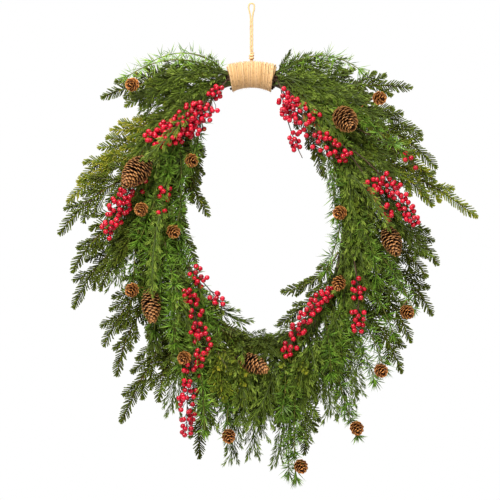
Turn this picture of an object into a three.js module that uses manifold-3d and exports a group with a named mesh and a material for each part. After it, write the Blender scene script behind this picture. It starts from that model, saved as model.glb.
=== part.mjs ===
// A fresh evergreen wreath that hangs from a jute loop.
// Millimetres. +Z is up, the front faces -Y, and the origin is the inside of the loop's eye, where a hook holds it.
import * as THREE from "three";
import { mergeVertices } from "three/addons/utils/BufferGeometryUtils.js";
import { ConvexGeometry } from "three/addons/geometries/ConvexGeometry.js";
import { ParametricGeometry } from "three/addons/geometries/ParametricGeometry.js";
import Module from "manifold-3d";

const wasm = await Module();
wasm.setup();

// ---- driving dimensions -------------------------------------------------------------------------------------

// The oval ring of bent stems: half its width and height, how far its middle lies below the hook, how far its foot
// leans to the right, and its thickness with the lobes of its wound stems.
const RING = { halfWidth: 138, halfHeight: 206, middle: -312, lean: 8, radius: 10, lobe: 1.2, twists: 3, steps: 42 };
// The bundle is thicker under the jute by swell, over about so many degrees of the ring to each side.
const BUNDLE = { swell: 4.6, over: 17 };
// The jute sleeve at its top: how far it runs to each side in degrees of the ring, its turns, the play round the
// bundle, half its outer thickness, how far each turn stands up, how much thicker it is at its ends, and how far its
// turns are drawn from square to the ring towards upright.
const WRAP = {
  halfAngle: 13.5,
  turns: 13,
  play: 0.7,
  outer: 18.9,
  ridge: 0.8,
  flare: 1.2,
  upright: 0.55,
  sides: 11,
  boreRows: 6,
};
// The twine of the loop, and the knot that ties its two strands above the wrap: two tilted turns round a tail.
const TWINE = { thickness: 2.4, sides: 8, steps: 32 };
const KNOT = { top: -72.3, bottom: -86, tail: 3, turnRadius: 2.5, twine: 3.6, tilt: 0.5, aside: 0.7, apart: 3.1 };
// Touching pieces keep this gap, and one that stands this near to another counts as resting on it.
const GAP = 0.3;
const NEAR = 0.4;

// The thickness of each kind of stem at its root, and the share of it that is gone at the tip.
const STEM = { fir: 4.4, cedar: 4, larch: 3.4, berries: 3, taper: 0.6 };
// Side shoots: where on the stem the first stands and how far on the last is, as shares of its length, their angle to
// the stem and how much that varies, and their thickness.
const SHOOT = { first: 0.14, run: 0.6, angle: 38, spread: 6, thickness: 2 };
// Berries: their size, where on the stem they start and how far on they go, and the reach and angle of their stalks.
const BERRY = { radius: 4.25, first: 0.26, run: 0.7, reach: 7.5, more: 2.5, angle: 70, stalk: 2 };
// They stand in a spiral, each turned from the last by the golden angle and a random part of the spread, in degrees.
const SPIRAL = { turn: 137.5, spread: 30 };
// Cones: the core is the share of the radius inside the scales, rows and scales count the rows and the scales in a
// row, and stalk is half the thickness of the stalk. Large cones have their own length and radius.
const LARGE_CONE = { core: 0.46, rows: 5, scales: 5, stalk: 2.2 };
const SMALL_CONE = { length: 22, radius: 11.4, core: 0.46, rows: 3, scales: 4, stalk: 1.3 };

const COLOUR = {
  stem: "#4a3424",
  jute: "#cda468",
  twine: "#e0be88",
  largeCone: "#8a5a34",
  smallCone: "#a0682f",
  berries: "#b40f22",
  fir: "#3f5a24",
  cedar: "#5c7430",
  larch: "#6c9c3c",
};

// Each bough: at is where its root sits on the ring, in degrees clockwise from the top, and from is the depth there.
// tip is its far end, bow is how far its stem bows sideways, and shoots and reach are its number of side shoots and
// the length of the longest. Depths are along Y, where the front is negative.
const FIR = [
  { at: -26, from: 7, tip: [-223, 12, -139], bow: 14, shoots: 4, reach: 54 },
  { at: -38, from: 1, tip: [-208, -4, -190], bow: -12, shoots: 4, reach: 50 },
  { at: -56, from: 7, tip: [-259, 14, -268], bow: 16, shoots: 4, reach: 56 },
  { at: -72, from: 1, tip: [-287, -4, -344], bow: 18, shoots: 4, reach: 58 },
  { at: -94, from: 7, tip: [-268, 14, -455], bow: 20, shoots: 4, reach: 58 },
  { at: -113, from: 1, tip: [-221, -2, -512], bow: 10, shoots: 4, reach: 52 },
  { at: -132, from: 7, tip: [-196, 12, -629], bow: 6, shoots: 4, reach: 56 },
  { at: -158, from: 5, tip: [-79, 6, -682], bow: 10, shoots: 4, reach: 54 },
  { at: 28, from: 7, tip: [238, 12, -125], bow: -4, shoots: 4, reach: 52 },
  { at: 46, from: 1, tip: [276, -2, -244], bow: -18, shoots: 4, reach: 56 },
  { at: 64, from: 7, tip: [338, 12, -319], bow: -13, shoots: 5, reach: 50 },
  { at: 88, from: 1, tip: [279, -2, -390], bow: -16, shoots: 4, reach: 54 },
  { at: 104, from: 7, tip: [272, 14, -466], bow: -16, shoots: 4, reach: 54 },
  { at: 124, from: 2, tip: [225, 2, -552], bow: -12, shoots: 4, reach: 54 },
  { at: 163, from: 5, tip: [80, 8, -676], bow: -10, shoots: 4, reach: 52 },
];
const CEDAR = [
  { at: -20, from: -6, tip: [-165, -16, -148], bow: 16, shoots: 4, reach: 54 },
  { at: 20, from: -6, tip: [168, -16, -152], bow: -16, shoots: 4, reach: 54 },
  { at: -84, from: -6, tip: [-204, -18, -420], bow: 12, shoots: 4, reach: 54 },
  { at: 58, from: -6, tip: [214, -18, -262], bow: -14, shoots: 4, reach: 56 },
  { at: 96, from: -6, tip: [212, -18, -440], bow: -12, shoots: 4, reach: 56 },
  { at: -146, from: -6, tip: [-118, -18, -610], bow: 14, shoots: 4, reach: 56 },
  { at: 177, from: -6, tip: [6, -16, -676], bow: 10, shoots: 5, reach: 60 },
  { at: 146, from: -6, tip: [140, -18, -622], bow: -14, shoots: 4, reach: 58 },
];
const LARCH = [
  { at: -17, from: -2, tip: [-186, -30, -112], bow: 22 },
  { at: 17, from: -2, tip: [160, -30, -100], bow: -22 },
  { at: 48, from: -10, tip: [112, -30, -402], bow: -27 },
  { at: -62, from: -8, tip: [-176, -32, -424], bow: 14 },
  { at: 156, from: -8, tip: [66, -30, -712], bow: 6 },
  { at: 132, from: -8, tip: [158, -32, -648], bow: 12 },
];
// Each berry spray: its root on the ring, its tip, its bow and its number of berries.
const BERRIES = [
  { at: -16, tip: [-146, -44, -206], bow: -16, count: 8 },
  { at: 16, tip: [140, -44, -232], bow: 14, count: 8 },
  { at: -60, tip: [-216, -38, -344], bow: 10, count: 7 },
  { at: 57, tip: [246, -42, -334], bow: -12, count: 7 },
  { at: -119, tip: [-70, -46, -540], bow: -8, count: 6 },
  { at: -142, tip: [-96, -44, -640], bow: 8, count: 6 },
  { at: 121, tip: [50, -44, -526], bow: 8, count: 6 },
  { at: 101, tip: [158, -46, -494], bow: -6, count: 5 },
];
// Each cone: its middle, and the direction from its stalk to its tip. A large one also has its length and radius.
const LARGE_CONES = [
  { middle: [-172, -58, -257], toward: [-0.6, -0.4, -0.68], length: 56, radius: 20.5 },
  { middle: [140, -48, -178], toward: [0.42, -0.72, -0.55], length: 48, radius: 19 },
  { middle: [209, -46, -359], toward: [0.3, -0.5, -0.8], length: 48, radius: 16 },
  { middle: [-149, -48, -455], toward: [0.08, -0.3, -0.95], length: 52, radius: 16 },
  { middle: [4, -46, -541], toward: [0.85, -0.34, -0.4], length: 48, radius: 15.5 },
];
const SMALL_CONES = [
  { middle: [-178, -42, -125], toward: [-0.3, -0.8, -0.2] },
  { middle: [-89, -44, -238], toward: [0.4, -0.8, -0.3] },
  { middle: [-164, -50, -311], toward: [-0.2, -0.9, -0.3] },
  { middle: [-116, -44, -344], toward: [0.3, -0.8, -0.4] },
  { middle: [-178, -46, -431], toward: [-0.4, -0.8, -0.3] },
  { middle: [-100, -48, -532], toward: [-0.2, -0.9, -0.3] },
  { middle: [-34, -40, -649], toward: [0.1, -0.8, -0.6] },
  { middle: [74, -40, -694], toward: [0.2, -0.8, -0.5] },
  { middle: [157, -42, -637], toward: [0.2, -0.8, -0.5] },
  { middle: [193, -44, -551], toward: [0.3, -0.8, -0.4] },
  { middle: [232, -42, -464], toward: [0.4, -0.7, -0.4] },
  { middle: [130, -44, -421], toward: [-0.3, -0.6, -0.7] },
  { middle: [131, -48, -316], toward: [-0.4, -0.8, -0.3] },
  { middle: [191, -42, -145], toward: [0.4, -0.8, -0.2] },
];

// The needles or fine shoots of each kind: their length and the twig that one covers at its foot, their angle to the
// twig, how far they turn out of the bough's plane, how many pairs stand together with the bare twig after them, the
// bare foot of a side shoot, and where along the stem they start.
const LEAVES = {
  fir: { length: 14, foot: 7.1, angle: 52, turns: [16, -10, 6, -18], group: 1, gap: 0, bare: 12, stemFrom: 0.74 },
  cedar: { length: 22, foot: 7.8, angle: 34, turns: [8, -6], group: 1, gap: 0, bare: 11, stemFrom: 0.74, taper: 0.4 },
  larch: { length: 22, foot: 2.6, angle: 62, turns: [48, -8, 20], group: 3, gap: 17, stemFrom: 0.12 },
};

// ---- small helpers ------------------------------------------------------------------------------------------

const vec = (x, y, z) => new THREE.Vector3(x, y, z);
const radians = THREE.MathUtils.degToRad;
const FRONT = vec(0, -1, 0);
const UP = vec(0, 0, 1);

// The same endless run of numbers from 0 to 1 for the same seed.
function seeded(seed) {
  let state = seed * 7919 + 17;
  return () => {
    state = (state * 16807) % 2147483647;
    return state / 2147483647;
  };
}

// A closed geometry as a solid that can be joined and cut.
function solidOf(geometry) {
  const bare = geometry.clone();
  bare.deleteAttribute("normal");
  bare.deleteAttribute("uv");
  const merged = mergeVertices(bare, 1e-3);
  const index = [...merged.index.array];
  const triangles = [];
  for (let i = 0; i < index.length; i += 3) {
    const [a, b, c] = index.slice(i, i + 3);
    if (a !== b && b !== c && c !== a) triangles.push(a, b, c);
  }
  return new wasm.Manifold(
    new wasm.Mesh({
      numProp: 3,
      vertProperties: merged.attributes.position.array,
      triVerts: new Uint32Array(triangles),
    }),
  );
}

function geometryOf(solid) {
  const mesh = solid.getMesh();
  const geometry = new THREE.BufferGeometry();
  geometry.setAttribute("position", new THREE.BufferAttribute(mesh.vertProperties, 3));
  geometry.setIndex(new THREE.BufferAttribute(mesh.triVerts, 1));
  geometry.computeVertexNormals();
  return geometry;
}

// A round tube along points whose radius follows radiusAt, closed at both ends.
function tube(points, radiusAt, sides, steps) {
  const curve = new THREE.CatmullRomCurve3(points);
  const frames = curve.computeFrenetFrames(steps);
  const rows = steps + 2;
  const skin = (u, v, target) => {
    const row = Math.round(v * rows);
    const step = THREE.MathUtils.clamp(row - 1, 0, steps);
    const radius = row === 0 || row === rows ? 0 : radiusAt(step / steps);
    const turn = (u === 1 ? 0 : u) * 2 * Math.PI;
    target.copy(curve.getPointAt(step / steps));
    target.addScaledVector(frames.normals[step], radius * Math.cos(turn));
    target.addScaledVector(frames.binormals[step], radius * Math.sin(turn));
  };
  return solidOf(new ParametricGeometry(skin, sides, rows));
}

// A slim three-sided stalk that widens from its foot to its end.
function stalkBetween(foot, end, width) {
  const along = end.clone().sub(foot);
  const geometry = new THREE.ConeGeometry(width * 0.58, along.length(), 3);
  geometry.rotateX(Math.PI);
  geometry.translate(0, along.length() / 2, 0);
  geometry.applyQuaternion(new THREE.Quaternion().setFromUnitVectors(vec(0, 1, 0), along.normalize()));
  geometry.translate(foot.x, foot.y, foot.z);
  return solidOf(geometry);
}

// ---- what is placed so far, so that later pieces stay clear of it ---------------------------------------------

const placed = [];

function place(owner, solid) {
  placed.push({ owner, solid, box: solid.boundingBox() });
}

function boxesMeet(a, b) {
  return [0, 1, 2].every((i) => a.min[i] - GAP < b.max[i] && b.min[i] - GAP < a.max[i]);
}

// The gap less a margin for rounding.
const LEAST_GAP = 0.95 * GAP;

function isClear(owner, solid) {
  const box = solid.boundingBox();
  return placed.every(
    (other) =>
      other.owner === owner || !boxesMeet(box, other.box) || other.solid.minGap(solid, 2 * GAP) > LEAST_GAP,
  );
}

const root = new THREE.Group();
const nodes = new Map();

// Adds a solid to a node, if it is clear of every other node. True if it was added.
function grow(name, solid) {
  if (!isClear(name, solid)) return false;
  if (!nodes.has(name)) nodes.set(name, []);
  nodes.get(name).push(solid);
  place(name, solid);
  return true;
}

// Adds a solid whose place is given by the tables, and names what it would cross.
function growFixed(name, solid) {
  if (grow(name, solid)) return;
  const met = placed.filter((other) => other.owner !== name && other.solid.minGap(solid, 1) < LEAST_GAP);
  throw new Error(name + " crosses " + [...new Set(met.map((other) => other.owner))].join(", "));
}

// ---- the ring and the jute ------------------------------------------------------------------------------------

// A point of the ring's middle line, in degrees clockwise from the top.
function ringPoint(degrees) {
  const turn = radians(degrees);
  const x = RING.halfWidth * Math.sin(turn) + RING.lean * (1 - Math.cos(turn));
  return vec(x, 0, RING.middle + RING.halfHeight * Math.cos(turn));
}

function ringTangent(degrees) {
  return ringPoint(degrees + 0.5).sub(ringPoint(degrees - 0.5)).normalize();
}

function ringOutward(degrees) {
  const tangent = ringTangent(degrees);
  return vec(-tangent.z, 0, tangent.x);
}

// A point at a distance from the ring's middle line, turned round it: 0 is outward and 90 the front.
function aroundRing(degrees, turn, distance) {
  return ringPoint(degrees)
    .addScaledVector(ringOutward(degrees), distance * Math.cos(turn))
    .addScaledVector(FRONT, distance * Math.sin(turn));
}

// Half the bundle's thickness, which grows where the jute ties it.
function ringGirth(degrees) {
  const fromTop = Math.min(Math.abs(degrees), 360 - Math.abs(degrees));
  return RING.radius + BUNDLE.swell * Math.exp(-((fromTop / BUNDLE.over) ** 4));
}

// The bundle of wound stems.
function stemRing() {
  const skin = (u, v, target) => {
    const degrees = (v === 1 ? 0 : v) * 360;
    const turn = (u === 1 ? 0 : u) * 2 * Math.PI;
    const lobe = RING.lobe * Math.cos(4 * turn);
    target.copy(aroundRing(degrees, turn + radians(degrees * RING.twists), ringGirth(degrees) + lobe));
  };
  return solidOf(new ParametricGeometry(skin, 8, RING.steps));
}

// The sleeve of twine turns, bored for the ring. Its turns stand out a little more towards its two ends.
function juteWrap() {
  const outerRows = 2 * WRAP.turns + 1;
  const rows = outerRows + WRAP.boreRows;
  const skin = (u, v, target) => {
    const row = Math.round(v * rows) % rows;
    const turn = (u === 1 ? 0 : u) * 2 * Math.PI;
    const outside = row < outerRows;
    const share = outside ? row / (outerRows - 1) : 1 - (row - outerRows) / (WRAP.boreRows - 1);
    const side = 2 * share - 1;
    const ridge = row % 2 ? WRAP.ridge : 0;
    const bore = (ringGirth(side * WRAP.halfAngle) + RING.lobe + WRAP.play) / Math.cos(Math.PI / WRAP.sides);
    const distance = outside ? WRAP.outer + WRAP.flare * side ** 2 + ridge : bore;
    const square = ringOutward(side * WRAP.halfAngle);
    const outward = outside ? square.lerp(UP, WRAP.upright).normalize() : square;
    target.copy(ringPoint(side * WRAP.halfAngle)).addScaledVector(outward, distance * Math.cos(turn));
    target.addScaledVector(FRONT, distance * Math.sin(turn));
  };
  return solidOf(new ParametricGeometry(skin, WRAP.sides, rows));
}

// The left strand of the loop and the left half of its eye, up to the top of the eye.
const LOOP_HALF = [
  [-1.3, -72],
  [-1.3, -64],
  [-1.4, -55],
  [-1.3, -46],
  [-1.4, -37],
  [-1.3, -29],
  [-1.4, -21.5],
  [-2.1, -15],
  [-3.5, -9.6],
  [-4.3, -4.4],
  [-3.6, -0.8],
  [-1.9, 0.8],
];
const LOOP_ROUTE = [
  ...LOOP_HALF.map(([x, z]) => vec(x, 0, z)),
  vec(0, 0, TWINE.thickness / 2),
  ...LOOP_HALF.map(([x, z]) => vec(-x, 0, z)).reverse(),
];

function hangingLoop() {
  const corners = Array.from({ length: TWINE.sides }, (_, side) => (side / TWINE.sides) * 2 * Math.PI);
  const section = new THREE.Shape(
    corners.map((turn) => new THREE.Vector2(Math.cos(turn), Math.sin(turn)).multiplyScalar(TWINE.thickness / 2)),
  );
  const extrudePath = new THREE.CatmullRomCurve3(LOOP_ROUTE);
  return solidOf(new THREE.ExtrudeGeometry(section, { steps: TWINE.steps, bevelEnabled: false, extrudePath }));
}

function loopKnot() {
  const height = KNOT.top - KNOT.bottom;
  const tail = new THREE.CylinderGeometry(0.87 * KNOT.tail, KNOT.tail, height, 6);
  tail.rotateX(Math.PI / 2);
  tail.translate(0, 0, KNOT.bottom + height / 2);
  const turns = [1, -1].map((side) => {
    const turn = new THREE.TorusGeometry(KNOT.turnRadius, KNOT.twine / 2, 5, 8);
    turn.rotateY(side * KNOT.tilt);
    turn.translate(side * KNOT.aside, 0, KNOT.bottom + height / 2 + side * KNOT.apart);
    return solidOf(turn);
  });
  return wasm.Manifold.union([solidOf(tail), ...turns]);
}

// ---- boughs ---------------------------------------------------------------------------------------------------

// The middle line of a stem that leaves the ring's surface, bows sideways and ends at its tip. It takes its depth
// over the first part of its length, so that it lies in a layer of its own from there.
const DEPTH_TAKEN_BY = 0.35;
const PATH_POINTS = 11;

function stemPath(row, standOff) {
  const from = row.from ?? -RING.radius;
  const turn = Math.asin(THREE.MathUtils.clamp(-from / RING.radius, -1, 1));
  const start = aroundRing(row.at, turn, standOff);
  const end = vec(...row.tip);
  const side = end.clone().sub(start).setY(0).normalize().cross(FRONT);
  const bend = start.clone().add(end).multiplyScalar(0.5).addScaledVector(side, 2 * row.bow);
  const flat = new THREE.QuadraticBezierCurve3(start, bend, end);
  const points = flat.getPoints(PATH_POINTS - 1);
  points.forEach((point, i) => {
    const share = Math.min(i / (PATH_POINTS - 1) / DEPTH_TAKEN_BY, 1);
    point.y = start.y + (end.y - start.y) * Math.sin((share * Math.PI) / 2);
  });
  return new THREE.CatmullRomCurve3(points);
}

// The share of its full length and the turn out of the bough's plane that a side shoot is tried with, in this order.
const SHOOT_TRIES = [
  [1, 4],
  [1, 14],
  [1, -10],
  [0.75, 4],
  [0.75, 18],
  [0.75, -16],
  [0.5, 6],
];

// The frame of a twig at a share of its path: its place, and the ways along, across and out of the bough's plane.
function combFrame(path, share) {
  const along = path.getTangentAt(share);
  const out = FRONT.clone().addScaledVector(along, -FRONT.dot(along)).normalize();
  return { place: path.getPointAt(share), along, out, across: along.clone().cross(out) };
}

// A direction that leans from a twig to one side by an angle, and is then turned round the twig out of the plane.
function leaning(frame, side, angle, turn) {
  const sideways = Math.sin(radians(angle));
  return frame.along
    .clone()
    .multiplyScalar(Math.cos(radians(angle)))
    .addScaledVector(frame.across, side * sideways * Math.cos(radians(turn)))
    .addScaledVector(frame.out, sideways * Math.sin(radians(turn)));
}

// A slim three-sided twig along a path, with a station at each place where it bends or where needles stand. With a
// run of random numbers it has its needles: they rise from its skin between a station and the next, left, right and
// behind, and taper to a point. One that would come too near another piece is turned aside, or left out.
function comb(name, twig, random) {
  const { path, leaf, thickness, stations } = twig;
  const length = path.getLength();
  const rings = stations.map(({ at }) => {
    const { place, across, out } = combFrame(path, at / length);
    const half = (thickness / 2) * (1 - (STEM.taper * at) / length);
    return [
      place.clone().addScaledVector(out, half),
      place.clone().addScaledVector(across, half).addScaledVector(out, -half / 2),
      place.clone().addScaledVector(across, -half).addScaledVector(out, -half / 2),
    ];
  });
  const last = combFrame(path, 1);
  const end = last.place.clone().addScaledVector(last.along, random ? 0.7 * leaf.length : 1);
  const points = [];
  const face = (...corners) => corners.forEach((corner) => points.push(corner.x, corner.y, corner.z));
  rings.forEach((ring, i) => {
    const next = rings[i + 1];
    for (const k of [0, 1, 2]) {
      const [a, b] = [ring[k], ring[(k + 1) % 3]];
      if (!next) {
        face(a, b, end);
        continue;
      }
      const [c, d] = [next[(k + 1) % 3], next[k]];
      face(a, c, d);
      const tip = random && stations[i].needles ? needleTip(name, twig, i, k, [a, b, c], random) : undefined;
      if (tip) [[a, b, tip], [b, c, tip], [c, a, tip]].forEach((corners) => face(...corners));
      else face(a, b, c);
    }
  });
  face(rings[0][0], rings[0][2], rings[0][1]);
  const geometry = new THREE.BufferGeometry();
  geometry.setAttribute("position", new THREE.Float32BufferAttribute(points, 3));
  return solidOf(geometry);
}

// Where the needle on one face of a twig ends: face 0 is the left, 1 the back and 2 the right. The back has one at
// every third place.
function needleTip(name, { path, leaf, stations }, i, face, foot, random) {
  if (face === 1 && i % 3) return undefined;
  const { at } = stations[i];
  const length = path.getLength();
  const frame = combFrame(path, (at + leaf.foot / 2) / length);
  const reach = leaf.length * (1 - ((leaf.taper ?? 0) * at) / length);
  const side = face === 2 ? -1 : 1;
  const first = (face === 1 ? -80 : leaf.turns[i % leaf.turns.length]) + 10 * (random() - 0.5);
  return [first, first + 25, first - 25]
    .map((turn) => frame.place.clone().addScaledVector(leaning(frame, side, leaf.angle, turn), reach))
    .find((tip) => isClear(name, solidOf(new ConvexGeometry([...foot, tip]))));
}

// Places from the root to a distance along a twig, evenly spaced, where it only bends.
function bends(to, count) {
  return Array.from({ length: count }, (_, i) => ({ at: (to * i) / count }));
}

// Places for needles from a distance on to the end: groups of pairs, each with a bare stretch after it.
function needlePlaces(from, length, leaf) {
  const places = [];
  for (let at = from, i = 0; at < length - leaf.foot; i++) {
    const bare = leaf.gap && i % (leaf.group + 1) === leaf.group;
    places.push({ at, needles: !bare });
    at += bare ? leaf.gap : leaf.foot;
  }
  return places;
}

// Where along its path a stem bends and where its needles stand. The stem of a berry spray has no needles.
function stemStations(path, leaf) {
  const length = path.getLength();
  if (!leaf) return bends(length, 6);
  const from = leaf.stemFrom * length;
  return [...bends(from, leaf.gap ? 1 : 4), ...needlePlaces(from, length, leaf)];
}

// Grows a bare stem from the ring, as near to its surface as a touching piece lies.
function growStem(kind, row, name) {
  const ring = nodes.get("stem_ring")[0];
  const thickness = STEM[kind];
  const leaf = LEAVES[kind];
  const farthest = RING.radius + BUNDLE.swell + 2 * thickness;
  for (let standOff = farthest; standOff > RING.radius - thickness; standOff -= GAP / 3) {
    const path = stemPath(row, standOff);
    const stem = { kind, row, name, path, leaf, thickness, stations: stemStations(path, leaf) };
    const bare = comb(name, stem);
    if (ring.minGap(bare, 1) > NEAR) continue;
    growFixed(name, bare);
    return stem;
  }
  throw new Error(name + " doesn't reach the ring");
}

// A stem with needles along its outer part, or in tufts along all of it, in place of the bare one.
function growNeedles(stem, random) {
  const solid = comb(stem.name, stem, random);
  const pieces = nodes.get(stem.name);
  const bare = placed.findIndex((other) => other.solid === pieces[0]);
  placed.splice(bare, 1);
  pieces.shift();
  growFixed(stem.name, solid);
}

// Side shoots along a stem, left and right in turn. A shoot in the way of another piece is bent to the front or
// back, or is shorter, and one that still isn't clear is left out.
function growShoots(stem, random) {
  const { shoots, reach } = stem.row;
  for (let i = 0; i < shoots; i++) {
    const t = SHOOT.first + (SHOOT.run * i) / (shoots - 1);
    const frame = combFrame(stem.path, t);
    const angle = SHOOT.angle + SHOOT.spread * random();
    for (const [share, turn] of SHOOT_TRIES) {
      const direction = leaning(frame, i % 2 ? 1 : -1, angle, turn);
      const length = share * reach * (1.1 - 0.4 * t);
      const path = new THREE.LineCurve3(frame.place, frame.place.clone().addScaledVector(direction, length));
      const stations = [{ at: 0 }, ...needlePlaces(stem.leaf.bare, length, stem.leaf)];
      const shoot = { path, leaf: stem.leaf, thickness: SHOOT.thickness, stations };
      if (!isClear(stem.name, comb(stem.name, shoot))) continue;
      grow(stem.name, comb(stem.name, shoot, random));
      break;
    }
  }
}

// A flat bough has side shoots and needles.
function growBough(stem, random) {
  growShoots(stem, random);
  growNeedles(stem, random);
}

// ---- berries and cones ------------------------------------------------------------------------------------------

// Round berries on short stalks, in a spiral round their stem, none of them touching another.
function growBerries(stem, random) {
  const middles = [];
  for (let i = 0; i < stem.row.count; i++) {
    const frame = combFrame(stem.path, BERRY.first + (BERRY.run * i) / (stem.row.count - 1));
    const start = SPIRAL.turn * i + SPIRAL.spread * random();
    const reach = BERRY.reach + BERRY.more * random();
    for (const turn of [0, 60, -60, 120, -120]) {
      const direction = leaning(frame, 1, BERRY.angle, start + turn);
      const middle = frame.place.clone().addScaledVector(direction, reach);
      const foot = frame.place.clone().addScaledVector(direction, -0.45 * BERRY.stalk);
      if (middles.some((other) => other.distanceTo(middle) < 2.2 * BERRY.radius)) continue;
      const berry = new THREE.IcosahedronGeometry(BERRY.radius);
      berry.translate(middle.x, middle.y, middle.z);
      const whole = wasm.Manifold.union([solidOf(berry), stalkBetween(foot, middle, BERRY.stalk)]);
      if (!grow(stem.name, whole)) continue;
      middles.push(middle);
      break;
    }
  }
}

// An open woody cone: rows of pointed scales stand out of a slim core, each row between the scales of the last.
function growCone(name, row, size, hosts) {
  const toward = vec(...row.toward).normalize();
  const base = vec(...row.middle).addScaledVector(toward, -size.length / 2);
  const across = toward.clone().cross(vec(0.31, 0.2, 0.93)).normalize();
  const beside = toward.clone().cross(across);
  const rings = 2 * size.rows + 2;
  const corners = 2 * size.scales;
  const skin = (u, v, target) => {
    const ring = Math.round(v * rings);
    const corner = Math.round(u * corners) % corners;
    const scaleRow = ring / 2 - 1;
    const share = ring / rings;
    const onScale = ring % 2 === 0 && scaleRow >= 0 && ring < rings && (corner + scaleRow) % 2 === 0;
    const ends = ring === 0 || ring === rings;
    const girth = Math.sin(Math.PI * (0.2 + 0.72 * share));
    const distance = ends ? 0 : size.radius * (onScale ? 1 : size.core) * girth;
    const lift = onScale ? size.length * (0.26 * share - 0.06) : 0;
    const turn = (corner / corners) * 2 * Math.PI;
    target.copy(base).addScaledVector(toward, size.length * (0.04 + 0.92 * share) + lift);
    target.addScaledVector(across, distance * Math.cos(turn));
    target.addScaledVector(beside, distance * Math.sin(turn));
  };
  growFixed(name, solidOf(new ParametricGeometry(skin, corners, rings)));
  growStalk(name, base, toward, size.stalk, hosts);
}

// The stalk from a cone's foot to the nearest stem that it can reach.
function growStalk(name, base, toward, radius, hosts) {
  const neck = base.clone().addScaledVector(toward, -3 * radius);
  const inside = base.clone().addScaledVector(toward, 3);
  const near = hosts.map((host) => ({ ...host, reach: host.point.distanceTo(neck) - host.radius }));
  near.sort((a, b) => a.reach - b.reach);
  for (const host of near) {
    const away = neck.clone().sub(host.point).normalize();
    const owner = nodes.get(host.name);
    for (let gap = GAP; gap < 5 * GAP; gap += GAP / 2) {
      const end = host.point.clone().addScaledVector(away, host.radius + gap);
      const stalk = tube([inside, base, neck, end], () => radius, 3, 3);
      if (Math.min(...owner.map((solid) => solid.minGap(stalk, 1))) < 2 * NEAR && grow(name, stalk)) return;
    }
  }
  throw new Error(name + " finds no stem");
}

// ---- the wreath -------------------------------------------------------------------------------------------------

growFixed("stem_ring", stemRing());
growFixed("jute_wrap", juteWrap());
growFixed("hanging_loop", hangingLoop());
growFixed("loop_knot", loopKnot());
const colours = {
  stem_ring: COLOUR.stem,
  jute_wrap: COLOUR.jute,
  hanging_loop: COLOUR.twine,
  loop_knot: COLOUR.twine,
};

// Names a row of a table, such as fir_01, and notes its colour.
function nameOf(label, i, colour) {
  const name = label + "_" + String(i + 1).padStart(2, "0");
  colours[name] = colour;
  return name;
}

const BOUGHS = { fir: FIR, cedar: CEDAR, larch: LARCH, berries: BERRIES };
const stems = Object.entries(BOUGHS).flatMap(([kind, rows]) =>
  rows.map((row, i) => growStem(kind, row, nameOf(kind, i, COLOUR[kind]))),
);

// The places that carry the cones: the ring below the jute, and the stems of the boughs.
const hosts = [];
for (let degrees = 20; degrees <= 340; degrees += 4) {
  hosts.push({ name: "stem_ring", point: ringPoint(degrees), radius: RING.radius });
}
for (const { kind, name, path, thickness } of stems) {
  if (kind === "berries") continue;
  for (let t = 0.3; t <= 0.9; t += 0.1) {
    hosts.push({ name, point: path.getPointAt(t), radius: (thickness / 2) * (1 - STEM.taper * t) });
  }
}
LARGE_CONES.forEach((row, i) =>
  growCone(nameOf("large_cone", i, COLOUR.largeCone), row, { ...LARGE_CONE, ...row }, hosts),
);
SMALL_CONES.forEach((row, i) => growCone(nameOf("small_cone", i, COLOUR.smallCone), row, SMALL_CONE, hosts));

// Berries, larch and cedar lie to the front, so they are finished first.
const FINISH = { fir: growBough, cedar: growBough, larch: growNeedles, berries: growBerries };
for (const [i, stem] of [...stems.entries()].reverse()) FINISH[stem.kind](stem, seeded(i + 1));

for (const [name, pieces] of nodes) {
  const solid = wasm.Manifold.union(pieces).simplify(GAP / 6);
  const body = solid.decompose().sort((a, b) => b.volume() - a.volume())[0];
  const material = new THREE.MeshStandardMaterial({ color: colours[name], roughness: 0.7, metalness: 0 });
  const mesh = new THREE.Mesh(geometryOf(body), material);
  mesh.name = name;
  root.add(mesh);
}

export default root;
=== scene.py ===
# Looks of the evergreen wreath: boughs, berries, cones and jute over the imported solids.
# Lengths are millimetres in the frame of the solids, and meshes are made in metres.
import math
import bpy
import numpy as np
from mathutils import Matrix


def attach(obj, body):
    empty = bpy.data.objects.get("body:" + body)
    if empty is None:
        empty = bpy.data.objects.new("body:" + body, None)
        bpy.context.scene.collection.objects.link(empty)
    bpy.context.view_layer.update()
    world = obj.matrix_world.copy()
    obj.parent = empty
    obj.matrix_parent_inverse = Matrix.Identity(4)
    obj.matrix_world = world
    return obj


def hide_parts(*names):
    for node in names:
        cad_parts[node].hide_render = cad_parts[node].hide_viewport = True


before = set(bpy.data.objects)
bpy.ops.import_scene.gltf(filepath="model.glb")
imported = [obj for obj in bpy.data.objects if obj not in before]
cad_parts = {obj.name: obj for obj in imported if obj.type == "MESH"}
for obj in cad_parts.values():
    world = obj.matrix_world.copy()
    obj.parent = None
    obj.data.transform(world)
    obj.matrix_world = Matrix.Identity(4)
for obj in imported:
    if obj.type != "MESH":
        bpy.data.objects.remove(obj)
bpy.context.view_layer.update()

mm = 0.001
front = np.array([0.0, -1.0, 0.0])
up = np.array([0.0, 0.0, 1.0])
goldenAngle = 137.5    # degrees from one scale or needle of a spiral to the next


def unit(vectors):
    return vectors / np.maximum(np.linalg.norm(vectors, axis=-1, keepdims=True), 1e-9)


def linear(hexColour):    # sRGB hex to the linear colour that shaders take
    parts = [int(hexColour[i:i + 2], 16) / 255 for i in (1, 3, 5)]
    parts = [c / 12.92 if c <= 0.04045 else ((c + 0.055) / 1.055) ** 2.4 for c in parts]
    return (*parts, 1.0)


def setInputs(tree, node, inputs):    # each input is a value, or the output that is linked to it
    for name, value in inputs.items():
        if isinstance(value, bpy.types.NodeSocket):
            tree.links.new(value, node.inputs[name])
        else:
            node.inputs[name].default_value = value


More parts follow.
